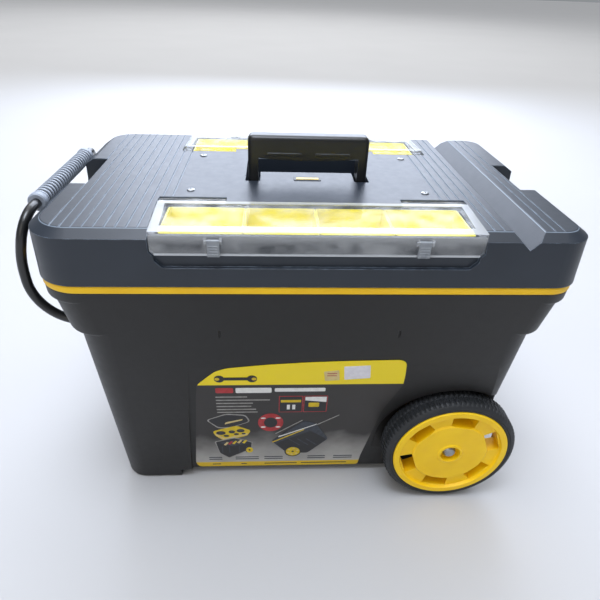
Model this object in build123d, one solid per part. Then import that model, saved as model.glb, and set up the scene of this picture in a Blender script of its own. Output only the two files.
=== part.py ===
from build123d import *
import os
from math import cos, radians, sin

# Rolling tool chest, in millimetres. The model is laid out about the lid's centre: +X runs towards the
# wheels, -Y is the front, +Z is up and the floor is Z = 0. On export every piece moves by one shift, so
# that the row's origin is the middle of the whole object's footprint.

# ---------------------------------------------------------------- driving dimensions
LID_LENGTH = 588.0  # over the skirt's lower edge
LID_WIDTH = 369.0
LID_CORNERS = (48.0, 34.0, 34.0, 40.0)  # plan radii: front left, front right, rear right, rear left
LID_DRAFT = 1.5  # how far each side leans in from skirt to shoulder
LID_TOP = 419.0
SHOULDER_Z = 411.0  # where the skirt turns into the bevel
LID_BEVEL = 12.0  # how far the bevel runs in
SKIRT_Z = 358.3
LID_WALL = 3.2

SEAL_Z = 348.6
SEAL_HEIGHT = 9.3
SEAL_BAND = 12.0
SEAL_PROUD = 0.7  # how far the seal stands out of the collar
COLLAR_Z = 333.0
COLLAR_LENGTH = 584.0
COLLAR_WIDTH = 366.0
BAND_Z = 286.0
BAND_LENGTH = 556.0
BAND_FLARE = 0.34  # growth of the band's length per millimetre of height
FLOOR_WIDTH = 268.0  # width the leaning front and rear planes reach at the floor
WALL_FOOT_LENGTH = 514.0
WALL_TOP_LENGTH = 536.0
TUB_FLOOR_Z = 13.0
TUB_WALL = 3.5
FLOOR_THICKNESS = 4.0
LEDGE_Z = 290.5  # top of the end ledges that the tray hangs on

FOOT_INNER_X = -176.0
FOOT_DEPTH = 62.0
PANEL_LEFT_X = -147.0  # the corner pad's edge at PANEL_LEFT_Z, leaning out by PANEL_LEFT_LEAN below it
PANEL_LEFT_Z = 218.0
PANEL_LEFT_LEAN = 0.066
PANEL_TOP_Z = 236.0
PANEL_STEP = 7.0  # the step's depth at the foot of the wall
LABEL_THICKNESS = 0.5

WHEEL_X = 199.0
WHEEL_R = 90.4
WHEEL_FACE_Y = 180.0
TYRE_WIDTH = 36.0
HUB_R = 77.9
WINDOW_COUNT = 6
WINDOW_IN_R = 52.0
WINDOW_OUT_R = 68.5
WINDOW_HALF_ANGLE = 18.0
WINDOW_WALL_IN_R = 48.5
WINDOW_WALL_OUT_R = 72.0
WINDOW_WALL_HALF_ANGLE = 22.0
WINDOW_DEPTH = 26.0
WINDOW_FIRST_ANGLE = 20.0
AXLE_R = 5.0
ARCH_R = 98.0
ARCH_FACE_Y = 137.0
STEP_X = 170.0  # the storage floor rises over the axle from here on
STEP_Z = 103.0
SKIRT_END_Z = 46.0  # lower edge of the tub's end wall behind the wheels

GROOVE_WIDTH = 1.6
GROOVE_DEPTH = 0.8
GROOVE_PITCH = 10.7
V_CENTRE_X = 220.5
V_WIDTH = 35.0
V_DEPTH = 17.0
NOTCH_X = 262.0
NOTCH_FRONT_Y = -50.0
NOTCH_REAR_Y = 46.0

ORGANISER_X = 4.0  # centre of both organisers
CLEAR_INNER_HALF = 173.0  # half length of a clear lid at its hinge side
CLEAR_FRONT_HALF = 169.0
CLEAR_FRONT_Y = 184.0
CLEAR_INNER_Y = 104.5
TAB_INNER_X = 100.0
CLEAR_TOP = 419.4
CLEAR_WALL = 2.6
FLANGE_Z = 394.5
FLANGE_TAPER = 4.5
FINGER_Z = 380.0  # lower edge of the finger recess under the flange
ORGANISER_PIN_Y = 93.0
ORGANISER_PIN_Z = 414.6
ORGANISER_PIN_R = 1.5
BIN_HALF_LENGTH = 162.0
BIN_FRONT_Y = 172.0
BIN_REAR_Y = 104.0
BIN_BOTTOM_Z = 384.5
BIN_TOP_Z = 413.0
BIN_WALL = 1.5
BIN_GAP = 0.4
BIN_DIVIDERS = (-77.5, 0.0, 77.5)
CLIP_XS = (-106.0, 105.0)  # from the organiser's centre
CLIP_WIDTH = 12.0
CLIP_PIN_Y = 187.0
CLIP_PIN_Z = 412.0
SCREW_X = 138.0
SCREW_Y = 67.0

HANDLE_HALF_LENGTH = 73.0
HANDLE_LEG = 12.5
HANDLE_PIVOT_Y = -20.0
HANDLE_PIVOT_Z = 407.0
HANDLE_TOP_Z = 473.0
HANDLE_UNDER_Z = 447.0
HANDLE_THICKNESS = 22.0
HANDLE_PIN_R = 3.0
WELL_HALF_LENGTH = 76.5
WELL_FRONT_Y = -32.5
WELL_REAR_Y = 60.0
WELL_FLOOR_Z = 391.0

ROD_Y = 130.0
ROD_Z = 279.0
ROD_R = 5.5
ROD_BORE_R = 4.3
ROD_INNER_X = 235.0
LOOP_X = -319.5
LOOP_RISE_R = 55.0
LOOP_LEAN_Z = 359.0
LOOP_LEAN_R = 135.0
GRIP_X = -305.3
GRIP_Z = 410.0
GRIP_BEND_R = 28.0
GRIP_R = 10.5
GRIP_HALF_LENGTH = 97.0
GRIP_RIBS = 23
GUIDE_START_X = -261.5
GUIDE_END_X = -170.0
GUIDE_R = 9.0

HINGE_Y = 193.5
HINGE_Z = 355.0
HINGE_R = 6.0
HINGE_PIN_R = 2.5
HINGE_XS = (-170.0, 170.0)
HINGE_HALF_LENGTH = 30.0
HINGE_LEAF_HALF = 11.0

LATCH_PIN_X = 297.0
LATCH_PIN_Z = 341.0
LATCH_PIN_R = 2.0
LATCH_Y = -2.0
LATCH_HALF = 28.0
LATCH_EAR_R = 5.0
LATCH_TOP_Z = 391.0
LATCH_HOOK_X = 274.0

RUN = 0.06  # radial clearance of every turning or sliding fit

X_LEFT = LOOP_X - ROD_R
X_RIGHT = LATCH_PIN_X + LATCH_EAR_R
Y_FRONT = -(CLIP_PIN_Y + 2.0)
Y_REAR = HINGE_Y + HINGE_R


# ---------------------------------------------------------------- helpers
def span_box(x0, x1, y0, y1, z0, z1):
    """A box given by its two corners."""
    return Pos((x0 + x1) / 2, (y0 + y1) / 2, (z0 + z1) / 2) * Box(abs(x1 - x0), abs(y1 - y0), abs(z1 - z0))


def rod_x(radius, x0, x1, y, z):
    """A round bar along X."""
    return Pos((x0 + x1) / 2, y, z) * Rot(0, 90, 0) * Cylinder(radius, abs(x1 - x0))


def rod_y(radius, x, y0, y1, z):
    """A round bar along Y."""
    return Pos(x, (y0 + y1) / 2, z) * Rot(90, 0, 0) * Cylinder(radius, abs(y1 - y0))


def plan(z, length, width, corners):
    """A rectangle lying at height z, rounded by four radii: front left, front right, rear right, rear left."""
    edges = []
    ends = []
    for index, (side_x, side_y) in enumerate(((-1, -1), (1, -1), (1, 1), (-1, 1))):
        radius = corners[index]
        centre = (side_x * (length / 2 - radius), side_y * (width / 2 - radius), z)
        arc = CenterArc(centre, radius, 180.0 + 90.0 * index, 90.0)
        if ends:
            edges.append(Line(ends[-1], arc @ 0))
        edges.append(arc)
        ends.append(arc @ 1)
    edges.append(Line(ends[-1], edges[0] @ 0))
    return make_face(edges)


def tapered(lower, upper):
    """A block with flat leaning sides between two (z, length, width, corners) outlines."""
    return loft([plan(*lower), plan(*upper)], ruled=True)


def trapezoid(front_half, inner_half, y_front, y_inner, z0, z1):
    """A flat plate between z0 and z1 that narrows evenly from y_inner to y_front."""
    outline = make_face(Polyline((-front_half, y_front, z0), (front_half, y_front, z0),
                                 (inner_half, y_inner, z0), (-inner_half, y_inner, z0), close=True))
    return extrude(outline, amount=z1 - z0, dir=(0, 0, 1))


def prism_y(points, y0, y1):
    """An outline of (x, z) points carried along Y from y0 to y1."""
    outline = make_face(Polyline(*[(x, y0, z) for x, z in points], close=True))
    return extrude(outline, amount=y1 - y0, dir=(0, 1, 0))


def prism_x(points, x0, x1):
    """An outline of (y, z) points carried along X from x0 to x1."""
    outline = make_face(Polyline(*[(x0, y, z) for y, z in points], close=True))
    return extrude(outline, amount=x1 - x0, dir=(1, 0, 0))


def turned_y(points, x, z):
    """A body of revolution about the Y line through (x, z), from an outline of (radius, y) points."""
    outline = make_face(Polyline(*[(r, y, 0) for r, y in points], close=True))
    return Pos(x, 0, z) * revolve(outline, Axis.Y)


def flipped(solid):
    """The same piece on the rear side."""
    return mirror(solid, Plane.XZ)


def depth(z):
    """Full width between the leaning front and rear planes at height z."""
    return FLOOR_WIDTH + (COLLAR_WIDTH - FLOOR_WIDTH) * z / (SEAL_Z + 0.4)


def corner_radii(z):
    """The tub's four plan radii at height z."""
    share = z / SEAL_Z
    return 30.0 + 17.0 * share, 28.0 + 6.0 * share, 28.0 + 6.0 * share, 29.0 + 11.0 * share


def wall_outline(z):
    """Outline of the tub's outer wall at height z."""
    length = WALL_FOOT_LENGTH + (WALL_TOP_LENGTH - WALL_FOOT_LENGTH) * z / BAND_Z
    return z, length, depth(z), corner_radii(z)


def band_outline(z):
    """Outline of the wider band at height z."""
    return z, BAND_LENGTH + BAND_FLARE * (z - BAND_Z), depth(z), corner_radii(z)


def panel_y(z):
    """Distance of the stepped-back label panel from the middle plane at height z."""
    foot_y = depth(TUB_FLOOR_Z) / 2 - PANEL_STEP
    return foot_y + (depth(PANEL_TOP_Z) / 2 - foot_y) * (z - TUB_FLOOR_Z) / (PANEL_TOP_Z - TUB_FLOOR_Z)


def shrunk(outline, inset):
    """The (z, length, width, corners) outline with every side moved in."""
    z, length, width, corners = outline
    return z, length - 2 * inset, width - 2 * inset, tuple(radius - inset for radius in corners)


# ---------------------------------------------------------------- tub and its fittings
def wheel_space(margin):
    """The room that one front wheel takes out of the tub's corner, grown by a margin."""
    depth = ARCH_FACE_Y - margin
    arch = rod_y(ARCH_R + margin, WHEEL_X, -240.0, -depth, WHEEL_R)
    below = span_box(WHEEL_X - ARCH_R - margin, 320.0, -240.0, -depth, -5.0, WHEEL_R)
    behind = span_box(WHEEL_X, 320.0, -240.0, -depth, 0.0, WHEEL_R + 72.0 + margin)
    return arch + below + behind


def panel_step_back():
    """The wedge cut off the front wall, so that the label panel leans back from the corner pads."""
    wedge = prism_x([(-panel_y(PANEL_TOP_Z), PANEL_TOP_Z), (-panel_y(-2.0), -2.0), (-230.0, -2.0),
                     (-230.0, PANEL_TOP_Z)], -200.0, 320.0)
    edge_x = [(PANEL_LEFT_X - PANEL_LEFT_LEAN * (PANEL_LEFT_Z - z), z) for z in (-5.0, 240.0)]
    wedge &= prism_y([edge_x[0], (330.0, -5.0), (330.0, 240.0), edge_x[1]], -240.0, 0.0)
    long_edges = wedge.edges().filter_by(lambda e: e.length > 200 and e.center().X < -100)
    return fillet(long_edges, 4.0)


def make_tub():
    """Deep tapered tub: collar, band, leaning walls, two feet and a raised floor over the axle."""
    wall = tapered(wall_outline(TUB_FLOOR_Z), wall_outline(BAND_Z + 7.0))
    wall = fillet(wall.edges().group_by(Axis.Z)[0], 6.0)
    band = tapered(band_outline(BAND_Z), band_outline(COLLAR_Z + 7.0))
    band = fillet(band.edges().group_by(Axis.Z)[0], 6.0)
    collar = tapered((COLLAR_Z, COLLAR_LENGTH, depth(COLLAR_Z), corner_radii(COLLAR_Z)),
                     (SEAL_Z, COLLAR_LENGTH, depth(SEAL_Z), corner_radii(SEAL_Z)))
    collar = fillet(collar.edges().group_by(Axis.Z)[0], 5.0)
    outer = wall + band + collar

    foot = tapered(wall_outline(0.0), wall_outline(TUB_FLOOR_Z + 8.0))
    foot = fillet(foot.edges().group_by(Axis.Z)[0], 5.0)
    foot_depth = FLOOR_WIDTH / 2 - FOOT_DEPTH
    foot &= span_box(-300.0, FOOT_INNER_X, -200.0, 200.0, -1.0, 30.0)
    foot -= span_box(-300.0, 0.0, -foot_depth, foot_depth, -1.0, TUB_FLOOR_Z)
    outer += foot

    store = tapered(shrunk(wall_outline(TUB_FLOOR_Z + FLOOR_THICKNESS), TUB_WALL),
                    shrunk(wall_outline(LEDGE_Z + 1.5), TUB_WALL))
    store -= span_box(STEP_X, 320.0, -200.0, 200.0, 0.0, STEP_Z + FLOOR_THICKNESS)
    store -= wheel_space(TUB_WALL) + flipped(wheel_space(TUB_WALL))
    behind_panel = prism_x([(panel_y(PANEL_TOP_Z) - TUB_WALL, PANEL_TOP_Z), (panel_y(0.0) - TUB_WALL, 0.0),
                            (200.0, 0.0), (200.0, PANEL_TOP_Z)], PANEL_LEFT_X - 18.0, 320.0)
    store -= behind_panel + flipped(behind_panel)
    upper = tapered((LEDGE_Z, 550.0, 341.6, tuple(radius - 4.0 for radius in corner_radii(LEDGE_Z))),
                    (SEAL_Z + 1.0, 558.0, 342.0, tuple(radius - 13.0 for radius in corner_radii(SEAL_Z))))
    tub = outer - store - upper

    tub -= wheel_space(0.0) + flipped(wheel_space(0.0))
    tub -= panel_step_back() + flipped(panel_step_back())
    rib_y = ARCH_FACE_Y - TUB_WALL
    tub -= span_box(STEP_X + TUB_WALL, 320.0, -rib_y, rib_y, -2.0, STEP_Z)
    tub += span_box(253.0, 256.5, -rib_y - 1.0, rib_y + 1.0, SKIRT_END_Z, STEP_Z + 1.0)
    for y in (-ARCH_FACE_Y, -48.0, 48.0 - TUB_WALL, rib_y):
        tub += span_box(STEP_X + 1.0, 254.0, y, y + TUB_WALL, SKIRT_END_Z, STEP_Z + 1.0)
    tub -= rod_y(AXLE_R, WHEEL_X, -160.0, 160.0, WHEEL_R)
    for side in (-1, 1):
        tub -= rod_x(ROD_R + 0.7, -300.0, -255.0, side * ROD_Y, ROD_Z)
        tub -= span_box(side * 102.0 - 1.5, side * 102.0 + 1.5, -200.0, -173.2, 285.0, 296.0)
    return tub


def make_seal():
    """Seal strip between the collar and the lid's skirt, with a rounded outer face."""
    foot = (SEAL_Z, COLLAR_LENGTH, COLLAR_WIDTH, corner_radii(SEAL_Z))
    head = (SEAL_Z + SEAL_HEIGHT, *foot[1:])
    outer = tapered(shrunk(foot, -SEAL_PROUD), shrunk(head, -SEAL_PROUD))
    outer = fillet(outer.edges().group_by(Axis.Z)[0] + outer.edges().group_by(Axis.Z)[-1], 2.0)
    bore = tapered(shrunk((foot[0] - 1.0, *foot[1:]), SEAL_BAND), shrunk((head[0] + 1.0, *foot[1:]), SEAL_BAND))
    return outer - bore


def make_tray():
    """Lift-out tray: it hangs on the tub's end ledges and has a grab bar along its middle."""
    floor_z, rim_z = LEDGE_Z, 342.0
    corners, room_corners = (38.0,) * 4, (32.0,) * 4
    tray = tapered((floor_z, 543.0, 330.0, corners), (rim_z, 546.0, 333.0, corners))
    room = tapered((floor_z + 3.0, 262.0, 319.0, room_corners), (rim_z + 1.0, 264.0, 322.0, room_corners))
    for x in (-136.5, 136.5):
        tray -= Pos(x, 0, 0) * room
        tray += span_box(x - 1.2, x + 1.2, -160.0, 160.0, floor_z + 1.0, rim_z - 8.0)
    tray -= span_box(-9.0, 9.0, -52.0, 52.0, rim_z - 30.0, rim_z - 9.0)
    tray += span_box(-8.0, 8.0, -52.0, 52.0, rim_z - 9.0, rim_z)
    return tray


def make_axle():
    """Steel axle right through the tub and both hubs."""
    bar = rod_y(AXLE_R, WHEEL_X, -WHEEL_FACE_Y + 4.0, WHEEL_FACE_Y - 4.0, WHEEL_R)
    return chamfer(bar.edges().filter_by(GeomType.CIRCLE), 0.8)


def make_axle_washers():
    """One plain washer each side, between the tub and the hub."""
    ring = turned_y([(AXLE_R, -ARCH_FACE_Y - 2.6), (12.0, -ARCH_FACE_Y - 2.6),
                     (12.0, -ARCH_FACE_Y - 0.4), (AXLE_R, -ARCH_FACE_Y - 0.4)], WHEEL_X, WHEEL_R)
    return Compound([ring, flipped(ring)])


def make_axle_caps():
    """Domed push nuts that keep the wheels on the axle."""
    face = -WHEEL_FACE_Y
    cap = turned_y([(AXLE_R, face + 9.0), (9.0, face + 9.0), (9.0, face + 6.0), (6.5, face + 3.2),
                    (0.0, face + 2.4), (0.0, face + 4.0), (AXLE_R, face + 4.0)], WHEEL_X, WHEEL_R)
    return Compound([cap, flipped(cap)])


def label_outline():
    """Front label in (x, z): a leaning left side with a chamfered crown, and a stepped right side."""
    points = [(-136.0, 204.0), (-139.0, 184.0), (-154.0, 26.0), (-149.0, 15.0), (85.5, 14.5), (87.0, 38.0),
              (103.0, 148.0), (123.0, 201.0), (124.5, 232.0), (120.0, 244.0), (110.0, 248.0), (-10.0, 241.6),
              (-108.0, 233.4), (-120.6, 224.4), (-128.6, 215.0)]
    outline = make_face(Polyline(*[(x, 0, z) for x, z in points], close=True))
    return fillet(outline.vertices(), 2.5)


def make_label():
    """Thin printed label lying on the leaning front panel."""
    foot_y, head_y = panel_y(13.0), panel_y(250.0)
    slab = prism_x([(-head_y, 250.0), (-foot_y, 13.0), (-foot_y - LABEL_THICKNESS, 13.0),
                    (-head_y - LABEL_THICKNESS, 250.0)], -200.0, 200.0)
    return slab & (Pos(0, -200, 0) * extrude(label_outline(), amount=150.0, dir=(0, 1, 0)))


def make_rod_guide(side):
    """Sleeve that one rod of the pull handle slides in, on a saddle from the tub's front or rear wall."""
    guide = rod_x(GUIDE_R, GUIDE_START_X, GUIDE_END_X, ROD_Y, ROD_Z)
    low, high = ROD_Z - 4.0, ROD_Z + 4.0
    guide += prism_x([(ROD_Y + 6.0, low), (depth(low) / 2 - TUB_WALL, low), (depth(high) / 2 - TUB_WALL, high),
                      (ROD_Y + 6.0, high)], -222.0, -192.0)
    guide -= rod_x(ROD_R + RUN, -300.0, -100.0, ROD_Y, ROD_Z)
    return guide if side > 0 else flipped(guide)


# ---------------------------------------------------------------- lid
def flange_outline(grow, top_z):
    """Outline in (x, z) of an organiser lid's front flange, or of its recess when grown."""
    half = CLEAR_FRONT_HALF + grow
    foot_z = FLANGE_Z - grow
    return [(-half, top_z), (half, top_z), (half, foot_z + FLANGE_TAPER), (half - FLANGE_TAPER, foot_z),
            (-half + FLANGE_TAPER, foot_z), (-half, foot_z + FLANGE_TAPER)]


def lid_blocks():
    """Thickened walls inside the lid around its pockets, before the pockets are cut."""
    organiser = Pos(ORGANISER_X, 0, 0) * span_box(-178.0, 178.0, -182.0, -84.0, FINGER_Z - 3.0, 417.0)
    well = span_box(-81.0, 81.0, -38.0, WELL_REAR_Y + 4.0, WELL_FLOOR_Z - 3.0, 417.0)
    ridge = prism_y([(V_CENTRE_X - V_WIDTH / 2 - 7.0, 417.0), (V_CENTRE_X - 4.0, LID_TOP - V_DEPTH - 4.0),
                     (V_CENTRE_X + 4.0, LID_TOP - V_DEPTH - 4.0),
                     (V_CENTRE_X + V_WIDTH / 2 + 7.0, 417.0)], -190.0, 190.0)
    notch = span_box(NOTCH_X - LID_WALL, 320.0, NOTCH_FRONT_Y - LID_WALL, NOTCH_REAR_Y + LID_WALL,
                     SKIRT_Z, 417.0)
    return organiser + flipped(organiser) + well + ridge + notch + mirror(notch, Plane.YZ)


def organiser_cuts():
    """Bin pocket, seat of the clear lid and finger recess of the front organiser."""
    cut = span_box(-BIN_HALF_LENGTH - 2.0, BIN_HALF_LENGTH + 2.0, -174.5, -101.5, BIN_BOTTOM_Z - 2.5, 421.0)
    cut += trapezoid(CLEAR_FRONT_HALF + 0.6, CLEAR_INNER_HALF + 1.3, -195.0, -CLEAR_INNER_Y + 2.0,
                     BIN_TOP_Z + 0.6, 421.0)
    for side in (-1, 1):
        cut += span_box(side * (TAB_INNER_X - 1.0), side * (CLEAR_INNER_HALF + 1.0), -CLEAR_INNER_Y - 2.0,
                        -ORGANISER_PIN_Y + 4.5, ORGANISER_PIN_Z - 4.2, 421.0)
        cut += rod_x(ORGANISER_PIN_R, side * (TAB_INNER_X - 4.0), side * (CLEAR_INNER_HALF + 4.0),
                     -ORGANISER_PIN_Y, ORGANISER_PIN_Z)
    cut += prism_y(flange_outline(1.4, 421.0), -195.0, -178.5)
    finger = prism_y([(-166.0, 400.0), (166.0, 400.0), (166.0, FINGER_Z + 8.0), (158.0, FINGER_Z),
                      (-158.0, FINGER_Z), (-166.0, FINGER_Z + 8.0)], -195.0, -179.5)
    finger = fillet(finger.edges().filter_by(Axis.Y).filter_by(lambda e: e.center().Z < 395), 4.0)
    return Pos(ORGANISER_X, 0, 0) * (cut + finger)


def groove_positions():
    """X of each fine groove, and how far it runs along Y, as (x, half length)."""
    full, short = 171.0, 86.0
    grooves = [(-NOTCH_X - 0.5 + GROOVE_PITCH * step, full) for step in range(9)]
    grooves += [(-NOTCH_X - 0.5 + GROOVE_PITCH * step, short) for step in (9, 10)]
    grooves += [(184.0 + GROOVE_PITCH * step, full) for step in (0, 1)]
    grooves += [(184.0 + GROOVE_PITCH * step, short) for step in (-3, -2, -1)]
    grooves += [(248.0 + GROOVE_PITCH * step, full) for step in (0, 1)]
    return grooves


def make_lid():
    """Lid shell with its pockets, V groove, end notches, handle well and fine grooves."""
    foot = (SKIRT_Z, LID_LENGTH, LID_WIDTH, LID_CORNERS)
    shoulder = shrunk((SHOULDER_Z, *foot[1:]), LID_DRAFT)
    crown = shrunk((LID_TOP, *shoulder[1:]), LID_BEVEL)
    body = tapered(foot, shoulder) + tapered(shoulder, crown)
    body = fillet(body.edges().group_by(Axis.Z)[-1], 1.5)

    inner_shoulder = shrunk((SHOULDER_Z - 2.0, *shoulder[1:]), LID_WALL)
    inner_crown = shrunk((LID_TOP - LID_WALL, *crown[1:]), LID_WALL / 2)
    cavity = tapered(shrunk((SKIRT_Z - 1.0, *foot[1:]), LID_WALL), inner_shoulder)
    cavity += tapered(inner_shoulder, inner_crown)
    lid = body - (cavity - lid_blocks())

    lid -= organiser_cuts() + flipped(organiser_cuts())
    well = span_box(-WELL_HALF_LENGTH, WELL_HALF_LENGTH, WELL_FRONT_Y, WELL_REAR_Y, WELL_FLOOR_Z, 421.0)
    well -= span_box(-58.5, 58.5, -60.0, 2.0, 0.0, 421.0)
    lid -= fillet(well.edges().filter_by(Axis.Z), 1.5)
    for side in (-1, 1):
        lid -= rod_x(HANDLE_PIN_R, side * 54.0, side * 80.0, HANDLE_PIVOT_Y, HANDLE_PIVOT_Z)

    lid -= prism_y([(V_CENTRE_X - V_WIDTH / 2 - 1.0, LID_TOP + 1.0), (V_CENTRE_X, LID_TOP - V_DEPTH),
                    (V_CENTRE_X + V_WIDTH / 2 + 1.0, LID_TOP + 1.0)], -200.0, 200.0)
    notch = span_box(NOTCH_X, 320.0, NOTCH_FRONT_Y, NOTCH_REAR_Y, SKIRT_Z - 1.0, 421.0)
    lid -= notch + mirror(notch, Plane.YZ)
    for x, half in groove_positions():
        lid -= span_box(x - GROOVE_WIDTH / 2, x + GROOVE_WIDTH / 2, -half, half, LID_TOP - GROOVE_DEPTH, 421.0)
    for x in (-SCREW_X, SCREW_X):
        for y in (-SCREW_Y, SCREW_Y):
            lid -= Pos(x, y, LID_TOP) * Cylinder(2.0, 12.0)

    for x in HINGE_XS:
        lid += rod_x(HINGE_R, x - HINGE_LEAF_HALF, x + HINGE_LEAF_HALF, HINGE_Y, HINGE_Z)
        lid += span_box(x - HINGE_LEAF_HALF, x + HINGE_LEAF_HALF, LID_WIDTH / 2 - 2.0, HINGE_Y + 4.5,
                        SKIRT_Z + 0.4, SKIRT_Z + 10.0)
        lid -= rod_x(HINGE_PIN_R + RUN, x - HINGE_HALF_LENGTH, x + HINGE_HALF_LENGTH, HINGE_Y, HINGE_Z)
    return lid


def make_bin():
    """Front organiser bin: a row of four loose cups, the end ones a little longer."""
    cups = []
    edges = [-BIN_HALF_LENGTH, *BIN_DIVIDERS, BIN_HALF_LENGTH]
    for start, end in zip(edges, edges[1:]):
        start, end = start + BIN_GAP / 2, end - BIN_GAP / 2
        cup = span_box(start, end, -BIN_FRONT_Y, -BIN_REAR_Y, BIN_BOTTOM_Z, BIN_TOP_Z)
        cup = fillet(cup.edges().filter_by(Axis.Z), 3.0)
        room = span_box(start + BIN_WALL, end - BIN_WALL, -BIN_FRONT_Y + BIN_WALL, -BIN_REAR_Y - BIN_WALL,
                        BIN_BOTTOM_Z + BIN_WALL, BIN_TOP_Z + 1.0)
        cup -= fillet(room.edges().group_by(Axis.Z)[0], 3.0)
        cups.append(Pos(ORGANISER_X, 0, 0) * cup)
    return Compound(cups)


def make_clear_lid():
    """Front organiser lid: a clear plate with a raised rim, a wrapped-down flange and two hinge tabs."""
    front, inner = CLEAR_FRONT_HALF, CLEAR_INNER_HALF
    body = trapezoid(front, inner, -CLEAR_FRONT_Y, -CLEAR_INNER_Y, CLEAR_TOP - CLEAR_WALL, CLEAR_TOP)
    rim = trapezoid(front, inner, -CLEAR_FRONT_Y, -CLEAR_INNER_Y, CLEAR_TOP - 0.5, CLEAR_TOP + 1.0)
    rim -= trapezoid(front - 9.0, inner - 9.0, -CLEAR_FRONT_Y + 14.0, -CLEAR_INNER_Y - 7.0, 410.0, 425.0)
    body += rim
    for side in (-1, 1):
        body += span_box(side * TAB_INNER_X, side * inner, -CLEAR_INNER_Y - 1.0, -ORGANISER_PIN_Y,
                         CLEAR_TOP - CLEAR_WALL, CLEAR_TOP - 0.6)
        body += rod_x(3.2, side * TAB_INNER_X, side * inner, -ORGANISER_PIN_Y, ORGANISER_PIN_Z)
        body -= rod_x(ORGANISER_PIN_R + RUN, side * (TAB_INNER_X - 2), side * (inner + 2), -ORGANISER_PIN_Y,
                      ORGANISER_PIN_Z)
    body += prism_y(flange_outline(0.0, CLEAR_TOP), -CLEAR_FRONT_Y, -CLEAR_FRONT_Y + CLEAR_WALL)
    for x in CLIP_XS:
        for side in (-1, 1):
            ear_x = x + side * (CLIP_WIDTH / 2 + 1.6)
            ear = span_box(ear_x - 1.2, ear_x + 1.2, -CLIP_PIN_Y - 1.8, -CLEAR_FRONT_Y + 1.0,
                           CLIP_PIN_Z - 3.0, CLIP_PIN_Z + 2.6)
            body += ear - rod_x(0.9 + RUN, ear_x - 3.0, ear_x + 3.0, -CLIP_PIN_Y, CLIP_PIN_Z)
    return Pos(ORGANISER_X, 0, 0) * body


def make_clip(x):
    """Small tab that snaps a front organiser lid shut, hung on its own two trunnions."""
    half = CLIP_WIDTH / 2
    tab = span_box(x - half, x + half, -CLIP_PIN_Y - 1.6, -CLEAR_FRONT_Y - 0.8, 395.5, CLIP_PIN_Z)
    tab += rod_x(1.6, x - half, x + half, -CLIP_PIN_Y, CLIP_PIN_Z)
    tab += rod_x(0.9, x - half - 2.6, x + half + 2.6, -CLIP_PIN_Y, CLIP_PIN_Z)
    for z in (398.0, 401.0, 404.0, 407.0):
        tab += rod_x(0.6, x - half + 1.5, x + half - 1.5, -CLIP_PIN_Y - 1.4, z)
    return Pos(ORGANISER_X, 0, 0) * tab


def make_organiser_pins():
    """The two hinge pins of the front organiser lid."""
    return Compound([rod_x(ORGANISER_PIN_R, ORGANISER_X + side * (TAB_INNER_X - 3.5),
                           ORGANISER_X + side * (CLEAR_INNER_HALF + 3.5), -ORGANISER_PIN_Y, ORGANISER_PIN_Z)
                     for side in (-1, 1)])


def make_lid_screws():
    """The four screws that hold the handle well's liner to the lid."""
    screws = []
    for x in (-SCREW_X, SCREW_X):
        for y in (-SCREW_Y, SCREW_Y):
            head = Pos(x, y, LID_TOP + 0.7) * Cylinder(4.5, 1.4)
            head = fillet(head.edges().group_by(Axis.Z)[-1], 0.8)
            head += Pos(x, y, LID_TOP - 2.0) * Cylinder(2.0, 4.0)
            screws.append(head)
    return Compound(screws)


def make_badge():
    """Blank badge plate in front of the carry handle's well."""
    plate = span_box(-14.0, 14.0, -27.0, -21.0, LID_TOP, LID_TOP + 1.2)
    return fillet(plate.edges().group_by(Axis.Z)[-1], 0.5)


def make_carry_handle():
    """U-shaped carry handle, standing up, with a slightly bowed underside to its grip."""
    half, leg, pivot = HANDLE_HALF_LENGTH, HANDLE_LEG, HANDLE_PIVOT_Z
    foot_z = pivot - HANDLE_THICKNESS / 2
    profile = make_face(Polyline((-half, 0, foot_z), (half, 0, foot_z), (half, 0, HANDLE_TOP_Z),
                                 (-half, 0, HANDLE_TOP_Z), close=True))
    window = make_face([
        Line((-half + leg, 0, foot_z - 1.0), (half - leg, 0, foot_z - 1.0)),
        Line((half - leg, 0, foot_z - 1.0), (half - leg, 0, HANDLE_UNDER_Z)),
        ThreePointArc((half - leg, 0, HANDLE_UNDER_Z), (0, 0, HANDLE_UNDER_Z - 3.0),
                      (-half + leg, 0, HANDLE_UNDER_Z)),
        Line((-half + leg, 0, HANDLE_UNDER_Z), (-half + leg, 0, foot_z - 1.0))])
    handle = extrude(profile, amount=HANDLE_THICKNESS / 2, dir=(0, 1, 0), both=True)
    handle -= extrude(window, amount=HANDLE_THICKNESS, dir=(0, 1, 0), both=True)
    handle = Pos(0, HANDLE_PIVOT_Y, 0) * handle
    corners = handle.edges().filter_by(Axis.Y).filter_by(lambda e: e.center().Z > HANDLE_TOP_Z - 1)
    handle = fillet(corners, 7.0)
    handle = fillet(handle.edges().group_by(Axis.Z)[-1], 6.0)
    heel = handle.edges().filter_by(Axis.X).filter_by(lambda e: e.center().Z < foot_z + 1)
    handle = fillet(heel, HANDLE_THICKNESS / 2 - 0.5)
    for side in (-1, 1):
        handle -= rod_x(HANDLE_PIN_R + RUN, side * (half - leg - 2), side * (half + 2), HANDLE_PIVOT_Y, pivot)
    return handle


def make_carry_pins():
    """Pivot pins of the carry handle, one in each leg."""
    pins = [rod_x(HANDLE_PIN_R, side * 54.5, side * 79.5, HANDLE_PIVOT_Y, HANDLE_PIVOT_Z) for side in (-1, 1)]
    return Compound(pins)


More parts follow.
